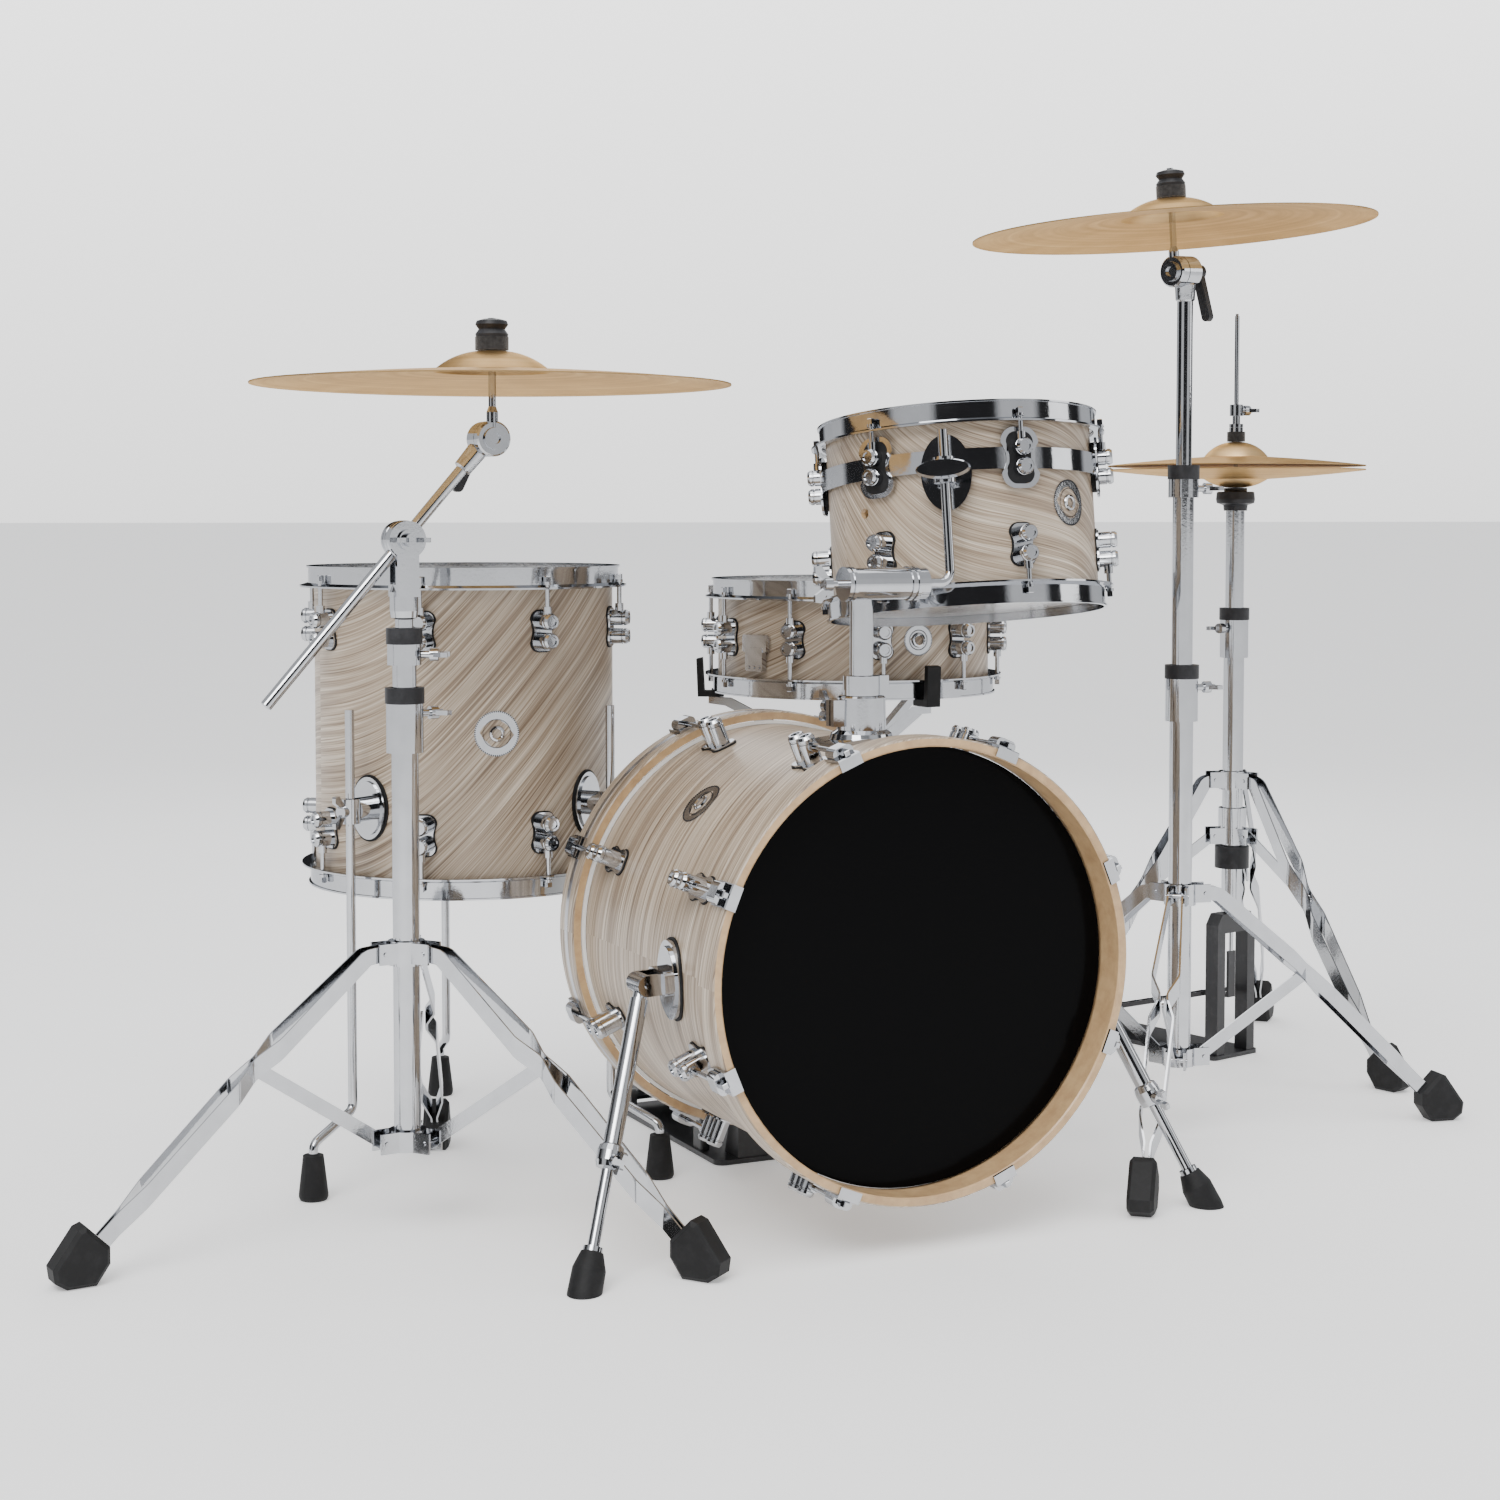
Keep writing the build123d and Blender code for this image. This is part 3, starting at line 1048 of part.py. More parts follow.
with BuildPart() as hihat_footboard:
    toe = (TOE_REACH, TOE_Z)
    with BuildSketch(Plane(pedal_turn.origin, x_dir=pedal_turn.x_dir, z_dir=-pedal_turn.y_dir)):
        with BuildLine():
            Polyline((toe[0], toe[1]), (HEEL_REACH - 18, HEEL_Z + 3), (HEEL_REACH + 20, HEEL_Z + 3),
                     (HEEL_REACH + 20, HEEL_Z + 9), (HEEL_REACH - 16, HEEL_Z + 9), (toe[0] + 1, toe[1] + 6),
                     close=True)
        make_face()
    extrude(amount=28, both=True)
    with BuildSketch(Plane(pedal_turn.from_local_coords(Vector(HEEL_REACH, 0, 0)),
                           x_dir=pedal_turn.x_dir, z_dir=-pedal_turn.y_dir)):
        with Locations((0, HEEL_Z)):
            Circle(6)
    extrude(amount=31, both=True)
    with BuildSketch(Plane(pedal_turn.origin, x_dir=pedal_turn.x_dir, z_dir=-pedal_turn.y_dir)):
        with BuildLine():
            Polyline((-2, TOE_Z), (TOE_REACH + 6, TOE_Z - 1), (TOE_REACH + 6, TOE_Z + 4), (2, TOE_Z + 4),
                     (2, HIHAT_ROD_BOTTOM - CLEAR), (-2, HIHAT_ROD_BOTTOM - CLEAR), close=True)
        make_face()
    extrude(amount=7, both=True)
save(hihat_footboard, "hihat_footboard")

# ---------------------------------------------------------------- snare stand
snare_stand_frame = frame_at(SNARE_X, SNARE_Y)
SNARE_LEG_REACH = 238.0
SNARE_PIVOT = (26.0, 214.0)
SNARE_CASTING = (26.0, 83.0)
SNARE_PINCH = (104.0, 128.0)
SNARE_PROFILE = [(19, 214), (34, 211), SNARE_PINCH, (226, 34)]
SNARE_SPREAD = [(19, 6), (40, 7), (84, 13), (104, 3.2), (124, 11), (186, 10), (208, 3.4), (232, 3.2)]
SNARE_LEG = bowed_leg(SNARE_PROFILE, SNARE_SPREAD, SNARE_LEG_REACH, SNARE_PIVOT, SNARE_PINCH)
SNARE_BRACE = flat_brace(SNARE_CASTING, SNARE_PINCH)
SNARE_HUB_Z = 452.0
SNARE_GRIP_Z = 526.0

with BuildPart() as snare_stand:
    ring(snare_stand_frame, MID_TUBE - TUBE_WALL, MID_TUBE, 70, 392)
    tube_clamp(snare_stand_frame, 352, 404, MID_TUBE, 200)
    clevis_ring(snare_stand_frame, SNARE_PIVOT[1] - 12, SNARE_PIVOT[1] + 11, MID_TUBE + CLEAR, 17,
                SNARE_PIVOT, SNARE_LEG_ANGLES)
    clevis_ring(snare_stand_frame, SNARE_CASTING[1] - 11, SNARE_CASTING[1] + 11, MID_TUBE + CLEAR, 17,
                SNARE_CASTING, SNARE_LEG_ANGLES)
    tripod_at((SNARE_X, SNARE_Y), SNARE_LEG_ANGLES, SNARE_LEG, SNARE_BRACE)
save(snare_stand, "snare_stand")

with BuildPart() as snare_basket:
    ring(snare_stand_frame, 0, MID_TUBE - TUBE_WALL - FIT, 240, SNARE_HUB_Z - 14)
    turned(snare_stand_frame, [(0, SNARE_HUB_Z - 14), (16, SNARE_HUB_Z - 14), (22, SNARE_HUB_Z - 8),
                               (22, SNARE_HUB_Z + 8), (16, SNARE_HUB_Z + 12), (0, SNARE_HUB_Z + 12)])
    rim = SNARE_RADIUS + FLANGE_REACH
    for angle in SNARE_ARM_ANGLES:
        arm = frame_at(SNARE_X, SNARE_Y, 0, angle)
        with BuildSketch(Plane(arm.origin, x_dir=arm.x_dir, z_dir=-arm.y_dir)):
            with BuildLine():
                Polyline((15, SNARE_HUB_Z - 6), (40, SNARE_HUB_Z - 6), (rim - 26, SNARE_GRIP_Z - 12),
                         (rim - 4, SNARE_GRIP_Z - 9), (rim - 4, SNARE_GRIP_Z - 0.3),
                         (rim - 34, SNARE_GRIP_Z - 2), (36, SNARE_HUB_Z + 6), (15, SNARE_HUB_Z + 6),
                         close=True)
            make_face()
        extrude(amount=5, both=True)
        with BuildSketch(Plane(arm.origin, x_dir=arm.x_dir, z_dir=-arm.y_dir)):
            with BuildLine():
                Polyline((rim - 24, SNARE_GRIP_Z), (rim + 10, SNARE_GRIP_Z), (rim + 12, SNARE_GRIP_Z + 50),
                         (rim + 4, SNARE_GRIP_Z + 52), (rim + 1.5, SNARE_GRIP_Z + 8),
                         (rim - 24, SNARE_GRIP_Z + 8), close=True)
            make_face()
        extrude(amount=9.5, both=True)
save(snare_basket, "snare_basket")

# ---------------------------------------------------------------- bass drum pedal
PEDAL_FRONT_Y = BASS_FRONT_Y + 2 * BASS_HOOP_REACH + BASS_SHELL_LENGTH - 14
PEDAL_HEEL_Y = 226.0
PEDAL_SHAFT_Y = 0.0
PEDAL_SHAFT_Z = 225.0
BEATER_LENGTH = 122.0
BEATER_REST = 25.0
PEDAL_HEEL_Z = 22.0
PEDAL_TOE = (24.0, 112.0)

pedal_side = Plane(origin=(BASS_X, 0, 0), x_dir=(0, 1, 0), z_dir=(1, 0, 0))
hoop_bottom = BASS_Z - hoop_outer
with BuildPart() as pedal_frame:
    with BuildSketch(Plane.XY):
        with Locations((BASS_X, (PEDAL_FRONT_Y + PEDAL_HEEL_Y + 24) / 2)):
            RectangleRounded(104, PEDAL_HEEL_Y + 24 - PEDAL_FRONT_Y, 12)
    extrude(amount=6)
    with BuildSketch(pedal_side):
        with BuildLine():
            Polyline((PEDAL_FRONT_Y + 2, 6), (PEDAL_FRONT_Y + 2, hoop_bottom - 1.5),
                     (PEDAL_FRONT_Y + 26, hoop_bottom - 1.5), (PEDAL_FRONT_Y + 40, 6), close=True)
        make_face()
    extrude(amount=24, both=True)
    for side in (-1, 1):
        with BuildSketch(Plane.XY.offset(6)):
            with Locations((BASS_X + side * 43, PEDAL_SHAFT_Y)):
                RectangleRounded(12, 26, 3)
        extrude(amount=PEDAL_SHAFT_Z + 10, taper=0.8)
        with BuildSketch(shifted(pedal_side, PEDAL_HEEL_Y, 0, side * 40)):
            with Locations((0, PEDAL_HEEL_Z)):
                Circle(9)
            with Locations((0, PEDAL_HEEL_Z / 2)):
                Rectangle(18, PEDAL_HEEL_Z)
        extrude(amount=4, both=True)
    with BuildSketch(shifted(pedal_side, 0, 0, -60)):
        with Locations((PEDAL_SHAFT_Y, PEDAL_SHAFT_Z)):
            Circle(5.2 + FIT)
    extrude(amount=120, mode=Mode.SUBTRACT)
save(pedal_frame, "pedal_frame")

with BuildPart() as pedal_footboard:
    with BuildSketch(pedal_side):
        with BuildLine():
            Polyline(PEDAL_TOE, (PEDAL_HEEL_Y - 20, PEDAL_HEEL_Z + 4),
                     (PEDAL_HEEL_Y + 24, PEDAL_HEEL_Z + 2), (PEDAL_HEEL_Y + 24, PEDAL_HEEL_Z + 8),
                     (PEDAL_HEEL_Y - 18, PEDAL_HEEL_Z + 11), (PEDAL_TOE[0] + 2, PEDAL_TOE[1] + 7),
                     close=True)
        make_face()
    extrude(amount=31, both=True)
    with BuildSketch(pedal_side):
        with Locations((PEDAL_HEEL_Y, PEDAL_HEEL_Z)):
            Circle(6)
    extrude(amount=35, both=True)
    with BuildSketch(pedal_side):
        with BuildLine():
            Polyline((PEDAL_TOE[0] + 3, PEDAL_TOE[1] + 4), (PEDAL_TOE[0] + 9, PEDAL_TOE[1] + 4),
                     (PEDAL_SHAFT_Y + 33, PEDAL_SHAFT_Z - 20), (PEDAL_SHAFT_Y + 29, PEDAL_SHAFT_Z - 20),
                     close=True)
        make_face()
    extrude(amount=6, both=True)
save(pedal_footboard, "pedal_footboard")

lean_back = radians(BEATER_REST)
shaft = shifted(pedal_side, PEDAL_SHAFT_Y, PEDAL_SHAFT_Z, 0)
beater_axis = Plane(shaft.origin, x_dir=(1, 0, 0), z_dir=(0, sin(lean_back), cos(lean_back)))
with BuildPart() as pedal_beater:
    ring(shaft, 0, 5.2, -56, 56)
    ring(shaft, 0, 20, -9, 9)
    ring(beater_axis, 0, 3, 0, BEATER_LENGTH)
    hammer = Plane(beater_axis.from_local_coords(Vector(0, 0, BEATER_LENGTH)), x_dir=(1, 0, 0),
                   z_dir=-beater_axis.y_dir)
    turned(hammer, [(0, -24), (18, -24), (21, -20), (24, 8), (22, 18), (15, 23), (0, 25)])
save(pedal_beater, "pedal_beater")
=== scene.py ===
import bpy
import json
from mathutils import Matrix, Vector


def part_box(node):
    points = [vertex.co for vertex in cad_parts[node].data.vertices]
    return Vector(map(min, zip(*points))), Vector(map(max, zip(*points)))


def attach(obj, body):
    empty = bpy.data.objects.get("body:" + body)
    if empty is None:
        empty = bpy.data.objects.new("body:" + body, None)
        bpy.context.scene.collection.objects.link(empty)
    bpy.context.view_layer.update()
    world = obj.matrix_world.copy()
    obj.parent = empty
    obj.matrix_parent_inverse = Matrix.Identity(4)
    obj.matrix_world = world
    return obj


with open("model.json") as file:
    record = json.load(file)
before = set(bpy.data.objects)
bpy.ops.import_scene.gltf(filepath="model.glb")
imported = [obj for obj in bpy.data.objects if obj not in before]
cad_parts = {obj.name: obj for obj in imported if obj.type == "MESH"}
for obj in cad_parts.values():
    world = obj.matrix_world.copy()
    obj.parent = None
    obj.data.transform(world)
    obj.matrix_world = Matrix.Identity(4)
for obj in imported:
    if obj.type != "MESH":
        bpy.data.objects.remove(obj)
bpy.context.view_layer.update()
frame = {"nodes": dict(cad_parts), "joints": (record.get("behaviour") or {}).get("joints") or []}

import json
import math

import bmesh
import bpy
import numpy as np
from mathutils import Matrix, Vector

# Looks of the drum kit: materials on the CAD nodes, and the lug gaskets, badges, vent grommets,
# bracket pads, hoop inlay, isolators and pedal treads that the CAD leaves out. Metres, in the
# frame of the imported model.
NODES = frame["nodes"]
JOINTS = {joint["name"]: joint for joint in frame["joints"]}
MM = 0.001
WELD = 2e-5  # grid on which vertices of one solid fall together


# ---------------------------------------------------------------- shader helpers
def add(tree, kind, inputs=None, **settings):
    """A node with its settings and inputs, where an input is a value or another node's socket."""
    node = tree.nodes.new(kind)
    for name, value in settings.items():
        setattr(node, name, value)
    for key, value in (inputs or {}).items():
        if isinstance(value, bpy.types.NodeSocket):
            tree.links.new(value, node.inputs[key])
        else:
            node.inputs[key].default_value = value
    return node


def calc(tree, operation, first, second=0.0):
    return add(tree, "ShaderNodeMath", {0: first, 1: second}, operation=operation).outputs[0]


def vector_calc(tree, operation, *inputs):
    """The outputs of an operation on vectors, Vector or Value."""
    return add(tree, "ShaderNodeVectorMath", dict(enumerate(inputs)), operation=operation).outputs


def combine(tree, x, y, z):
    return add(tree, "ShaderNodeCombineXYZ", {0: x, 1: y, 2: z}).outputs[0]


def mix(tree, factor, first, second, blend="MIX"):
    inputs = {0: factor, 6: first, 7: second}
    return add(tree, "ShaderNodeMix", inputs, data_type="RGBA", blend_type=blend).outputs[2]


def ramp(tree, factor, *stops):
    """Colour ramp from (position, (r, g, b)) stops."""
    node = add(tree, "ShaderNodeValToRGB", {"Fac": factor})
    while len(node.color_ramp.elements) < len(stops):
        node.color_ramp.elements.new(0.5)
    for element, (position, colour) in zip(node.color_ramp.elements, stops):
        element.position = position
        element.color = (*colour, 1)
    return node.outputs["Color"]


def spread(tree, factor, low, high):
    """A 0 to 1 value stretched over another range."""
    inputs = {"Value": factor, "To Min": low, "To Max": high}
    return add(tree, "ShaderNodeMapRange", inputs).outputs["Result"]


def noise(tree, vector, scale, detail, rough=0.55):
    inputs = {"Vector": vector, "Scale": scale, "Detail": detail, "Roughness": rough}
    return add(tree, "ShaderNodeTexNoise", inputs).outputs["Fac"]


def object_space(tree):
    return add(tree, "ShaderNodeTexCoord").outputs["Object"]


def bump(tree, height, distance, strength):
    inputs = {"Height": height, "Distance": distance, "Strength": strength}
    return add(tree, "ShaderNodeBump", inputs).outputs["Normal"]


def material(name, **constants):
    """A new material and its node tree, its Principled shader's constants set by socket name."""
    made = bpy.data.materials.new(name)
    made.use_nodes = True
    shader = made.node_tree.nodes["Principled BSDF"]
    for key, value in constants.items():
        shader.inputs[key.replace("_", " ")].default_value = value
    return made, made.node_tree, shader


def feed(tree, shader, **sockets):
    """Link sockets to the Principled shader's inputs of the same names."""
    for key, socket in sockets.items():
        tree.links.new(socket, shader.inputs[key.replace("_", " ")])


# ---------------------------------------------------------------- materials
def chrome(name, tint=(0.54, 0.55, 0.57), low=0.04, high=0.12):
    """Polished plating with faint smudges and casting ripple."""
    made, tree, shader = material(name, Metallic=1.0, Specular_Tint=(0.75, 0.76, 0.78, 1))
    place = object_space(tree)
    smudge = noise(tree, place, scale=38.0, detail=6.0)
    ripple = noise(tree, place, scale=260.0, detail=2.0)
    feed(tree, shader,
         Base_Color=ramp(tree, smudge, (0.3, [0.90 * c for c in tint]), (0.7, tint)),
         Roughness=spread(tree, smudge, low, high),
         Normal=bump(tree, ripple, distance=0.00012, strength=0.25))
    return made


def rubber(name, shade=(0.006, 0.006, 0.0065), rough=0.6, grain=900.0):
    """Moulded rubber or nylon: near black, fine grain, paler scuffs."""
    made, tree, shader = material(name, Specular_IOR_Level=0.3)
    place = object_space(tree)
    scuff = noise(tree, place, scale=55.0, detail=7.0, rough=0.7)
    skin = noise(tree, place, scale=grain, detail=3.0)
    pale = [c * 2.2 + 0.006 for c in shade]
    feed(tree, shader,
         Base_Color=ramp(tree, scuff, (0.45, shade), (0.8, pale)),
         Roughness=spread(tree, scuff, rough - 0.12, rough + 0.15),
         Normal=bump(tree, skin, distance=0.0002, strength=0.5))
    return made


def felt(name, shade):
    """Pressed wool felt: fuzzy, matt and mottled."""
    made, tree, shader = material(name, Roughness=0.95, Sheen_Weight=0.5, Sheen_Roughness=0.4)
    place = object_space(tree)
    fuzz = noise(tree, place, scale=1500.0, detail=5.0, rough=0.8)
    mottle = noise(tree, place, scale=220.0, detail=5.0, rough=0.7)
    pale = [min(1.0, c * 1.8 + 0.02) for c in shade]
    feed(tree, shader,
         Base_Color=ramp(tree, mottle, (0.35, shade), (0.7, pale)),
         Normal=bump(tree, fuzz, distance=0.0006, strength=0.9))
    return made


def maple(name, light=(0.72, 0.52, 0.30), dark=(0.52, 0.34, 0.17), along=(1.0, 1.0, 1.0)):
    """Lacquered maple, its grain scaled by along on each axis."""
    made, tree, shader = material(name, Coat_Weight=0.4, Coat_Roughness=0.2)
    inputs = {"Vector": object_space(tree), "Scale": along}
    stretched = add(tree, "ShaderNodeMapping", inputs).outputs[0]
    grain = noise(tree, stretched, scale=60.0, detail=8.0, rough=0.65)
    feed(tree, shader,
         Base_Color=ramp(tree, grain, (0.3, dark), (0.62, light)),
         Roughness=spread(tree, grain, 0.32, 0.5),
         Normal=bump(tree, grain, distance=0.0003, strength=0.4))
    return made


def stretch(tree, across, across_scale, along, along_scale):
    """Noise coordinates for streaks: close together one way and long the other."""
    near = calc(tree, "MULTIPLY", across, across_scale)
    far = calc(tree, "MULTIPLY", along, along_scale)
    return combine(tree, near, far, across_scale)


GRAIN_TONES = (
    (0.34, (0.25, 0.185, 0.13)), (0.48, (0.42, 0.335, 0.25)), (0.64, (0.56, 0.48, 0.385)))
STREAK_TONES = (
    (0.36, (0.50, 0.43, 0.36)), (0.46, (0.90, 0.88, 0.85)), (0.56, (1.0, 1.0, 1.0)),
    (0.66, (1.35, 1.38, 1.40)))
BRONZE_TONES = (
    (0.34, (0.38, 0.23, 0.10)), (0.52, (0.56, 0.37, 0.18)), (0.68, (0.72, 0.52, 0.29)))


def wrap(name, drum, slant, bow):
    """Twisted pale veneer finish: fine diagonal streaks that wind round the drum.

    slant is how steeply the streaks climb, and bow how much they curve along the drum."""
    made, tree, shader = material(name, Coat_Weight=0.25, Coat_Roughness=0.3)
    inverse = drum["matrix"].inverted()
    inputs = {"Vector": object_space(tree), "Location": inverse.translation,
              "Rotation": inverse.to_euler()}
    local = add(tree, "ShaderNodeMapping", inputs).outputs[0]
    x, y, height = add(tree, "ShaderNodeSeparateXYZ", {0: local}).outputs
    angle = calc(tree, "ARCTAN2", y, x)
    arc = calc(tree, "MULTIPLY", angle, drum["radius"])
    wave = calc(tree, "MULTIPLY", calc(tree, "SINE", calc(tree, "MULTIPLY", angle, 2.0)), bow)
    wander = calc(tree, "MULTIPLY", noise(tree, local, scale=4.0, detail=1.0), 0.022)
    climb = calc(tree, "MULTIPLY", arc, slant)
    across = calc(tree, "ADD", calc(tree, "SUBTRACT", height, climb),
                  calc(tree, "ADD", wave, wander))
    along = calc(tree, "ADD", arc, calc(tree, "MULTIPLY", height, slant))
    streak = noise(tree, stretch(tree, across, 620.0, along, 5.0), 1.0, detail=2.0, rough=0.6)
    band = noise(tree, stretch(tree, across, 190.0, along, 2.4), 1.0, detail=3.0, rough=0.55)
    shade = mix(tree, 1.0, ramp(tree, band, *GRAIN_TONES), ramp(tree, streak, *STREAK_TONES),
                "MULTIPLY")
    feed(tree, shader, Base_Color=shade, Roughness=spread(tree, streak, 0.34, 0.5),
         Normal=bump(tree, streak, distance=0.0003, strength=0.35))
    return made


def film(name, shade, clear, gloss=0.3):
    """Stretched polyester drum head: clear, or dense with a coating."""
    made, tree, shader = material(name, Transmission_Weight=clear, IOR=1.2, Coat_Weight=gloss,
                                  Coat_Roughness=0.12, Specular_IOR_Level=gloss)
    coat = noise(tree, object_space(tree), scale=420.0, detail=4.0, rough=0.7)
    pale = [min(1.0, c * 1.06) for c in shade]
    feed(tree, shader,
         Base_Color=ramp(tree, coat, (0.3, shade), (0.7, pale)),
         Roughness=spread(tree, coat, 0.16, 0.34),
         Normal=bump(tree, coat, distance=0.00008, strength=0.4))
    return made


def rings(tree, radius, per_metre, shift, detail):
    """Noise that changes with the radius only."""
    place = combine(tree, calc(tree, "MULTIPLY", radius, per_metre), shift, 0.0)
    return noise(tree, place, 1.0, detail)


def bronze(name, centre, axis):
    """Lathed cymbal bronze: fine turned grooves and wider tonal bands round the bell."""
    made, tree, shader = material(name, Metallic=1.0, Anisotropic=0.35,
                                  Specular_Tint=(0.80, 0.64, 0.44, 1))
    offset = vector_calc(tree, "SUBTRACT", object_space(tree), centre)["Vector"]
    along = vector_calc(tree, "DOT_PRODUCT", offset, axis)["Value"]
    reach = vector_calc(tree, "LENGTH", offset)["Value"]
    square = calc(tree, "SUBTRACT", calc(tree, "POWER", reach, 2.0),
                  calc(tree, "POWER", along, 2.0))
    radius = calc(tree, "SQRT", calc(tree, "MAXIMUM", square, 0.0))
    grooves = rings(tree, radius, per_metre=1300.0, shift=0.0, detail=2.0)
    bands = rings(tree, radius, per_metre=90.0, shift=3.0, detail=3.0)
    patina = noise(tree, offset, scale=14.0, detail=5.0)
    tone = calc(tree, "ADD", calc(tree, "MULTIPLY", bands, 0.6),
                calc(tree, "MULTIPLY", patina, 0.4))
    feed(tree, shader, Base_Color=ramp(tree, tone, *BRONZE_TONES),
         Roughness=spread(tree, grooves, 0.30, 0.46),
         Normal=bump(tree, grooves, distance=0.00025, strength=0.6))
    return made


def painted(name, shade, rough=0.38):
    """Powder-coated casting with a fine orange-peel skin."""
    made, tree, shader = material(name, Metallic=0.2, Coat_Weight=0.3, Coat_Roughness=0.25)
    place = object_space(tree)
    peel = noise(tree, place, scale=480.0, detail=3.0)
    wear = noise(tree, place, scale=30.0, detail=8.0, rough=0.75)
    feed(tree, shader,
         Base_Color=ramp(tree, wear, (0.5, shade), (0.85, [c * 2.2 + 0.02 for c in shade])),
         Roughness=spread(tree, wear, rough - 0.08, rough + 0.14),
         Normal=bump(tree, peel, distance=0.0002, strength=0.4))
    return made


CHROME = chrome("polished_chrome")
STEEL = chrome("brushed_wire_steel", (0.62, 0.62, 0.64), 0.2, 0.4)
RUBBER = rubber("black_rubber")
NYLON = rubber("black_nylon", (0.016, 0.016, 0.018), 0.42, 500.0)
FELT = felt("black_felt", (0.014, 0.014, 0.015))
BEATER_FELT = felt("pale_felt", (0.55, 0.53, 0.48))
BLACK_PAINT = painted("black_casting", (0.014, 0.014, 0.016))
MAPLE_PLY = maple("maple_shell_inside", along=(6.0, 6.0, 1.0))
MAPLE_HOOP = maple("maple_hoop_edge", (0.56, 0.37, 0.19), (0.42, 0.26, 0.13))
CLEAR_FILM = film("clear_film", (0.92, 0.93, 0.94), 0.9)
COATED_FILM = film("coated_film", (0.86, 0.86, 0.84), 0.0)
BLACK_FILM = film("black_film", (0.0015, 0.0015, 0.0017), 0.0, 0.06)


# ---------------------------------------------------------------- painting the CAD nodes
def geometry(node):
    """Face corners, centres, normals and each face's connected solid of a CAD node, as arrays."""
    mesh = NODES[node].data
    points = np.empty(len(mesh.vertices) * 3, np.float32)
    mesh.vertices.foreach_get("co", points)
    points = points.reshape(-1, 3).astype(float)
    grid = np.round(points / WELD).astype(np.int64)
    weld = np.unique(grid, axis=0, return_inverse=True)[1].ravel()
    starts = np.empty(len(mesh.polygons), np.int32)
    mesh.polygons.foreach_get("loop_start", starts)
    corners = np.empty(len(mesh.loops), np.int32)
    mesh.loops.foreach_get("vertex_index", corners)
    faces = corners[starts[:, None] + np.arange(3)]
    first, second, third = (points[faces[:, k]] for k in range(3))
    normals = np.cross(second - first, third - first)
    normals /= np.maximum(np.linalg.norm(normals, axis=1), 1e-12)[:, None]
    joined = weld[faces]
    label = np.arange(weld.max() + 1)
    while True:
        lowest = label[joined].min(axis=1)
        relabel = label.copy()
        np.minimum.at(relabel, joined.ravel(), np.repeat(lowest, 3))
        relabel = relabel[relabel]
        if np.array_equal(relabel, label):
            break
        label = relabel
    return points[faces], points[faces].mean(axis=1), normals, label[joined[:, 0]]


def paint(node, base, *rules):
    """Give a node its base material, then each rule's material where its test says so.

    A rule is (material, test). test gets each connected solid's low and high corners."""
    mesh = NODES[node].data
    mesh.materials.clear()
    for choice in [base] + [rule[0] for rule in rules]:
        mesh.materials.append(choice)
    if not rules:
        return
    corners, _, _, label = geometry(node)
    index = np.zeros(len(mesh.polygons), np.int32)
    for solid in np.unique(label):
        mine = label == solid
        spots = corners[mine].reshape(-1, 3)
        low, high = spots.min(axis=0), spots.max(axis=0)
        for number, (_, test) in enumerate(rules, start=1):
            if test(low, high):
                index[mine] = number
    mesh.polygons.foreach_set("material_index", index)


def paint_faces(node, base, other, test):
    """Two materials on one node, split by a test on face centres and normals."""
    mesh = NODES[node].data
    mesh.materials.clear()
    mesh.materials.append(base)
    mesh.materials.append(other)
    _, centres, normals, _ = geometry(node)
    mesh.polygons.foreach_set("material_index", test(centres, normals).astype(np.int32))


def tall(low_mm, high_mm):
    """A test for solids whose height is between two sizes."""
    return lambda low, high: low_mm * MM < high[2] - low[2] < high_mm * MM


FOOT_LIFT, FOOT_TOP = 2 * MM, 75 * MM
BUSHING_HEIGHT, BUSHING_SLACK, BUSHING_WIDTH = 16.8 * MM, 0.4 * MM, 30 * MM


def foot(low, high):
    return low[2] < FOOT_LIFT and high[2] < FOOT_TOP


def bushing(low, high):
    right_height = abs(high[2] - low[2] - BUSHING_HEIGHT) < BUSHING_SLACK
    return right_height and high[0] - low[0] > BUSHING_WIDTH


# ---------------------------------------------------------------- the drums' own frames
def drum_frame(shell, axis, across):
    """A drum's radius and half length, with a matrix at its centre whose +Z is its axis."""
    low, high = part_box(shell)
    centre = (low + high) / 2
    z = Vector(axis).normalized()
    x = (Vector(across) - z * Vector(across).dot(z)).normalized()
    y = z.cross(x)
    turn = Matrix((x, y, z)).transposed().to_4x4()
    points = np.array([turn.inverted() @ (v.co - centre) for v in NODES[shell].data.vertices])
    radius = float(np.hypot(points[:, 0], points[:, 1]).max())
    return {"matrix": Matrix.Translation(centre) @ turn, "radius": radius,
            "half": float(points[:, 2].max())}


RIGHT, UP, FORWARD = (1, 0, 0), (0, 0, 1), (0, -1, 0)
TOM_AXIS = JOINTS["rack_tom_swivel"]["axis"]
DRUMS = {
    "bass": drum_frame("bass_shell", FORWARD, RIGHT),
    "rack_tom": drum_frame("rack_tom_shell", TOM_AXIS, RIGHT),
    "floor_tom": drum_frame("floor_tom_shell", UP, RIGHT),
    "snare": drum_frame("snare_shell", UP, RIGHT),
}
WRAPS = {
    "bass": wrap("bass_wrap", DRUMS["bass"], 0.16, 0.035),
    "rack_tom": wrap("rack_tom_wrap", DRUMS["rack_tom"], -0.75, 0.045),
    "floor_tom": wrap("floor_tom_wrap", DRUMS["floor_tom"], 0.62, 0.05),
    "snare": wrap("snare_wrap", DRUMS["snare"], 0.6, 0.03),
}


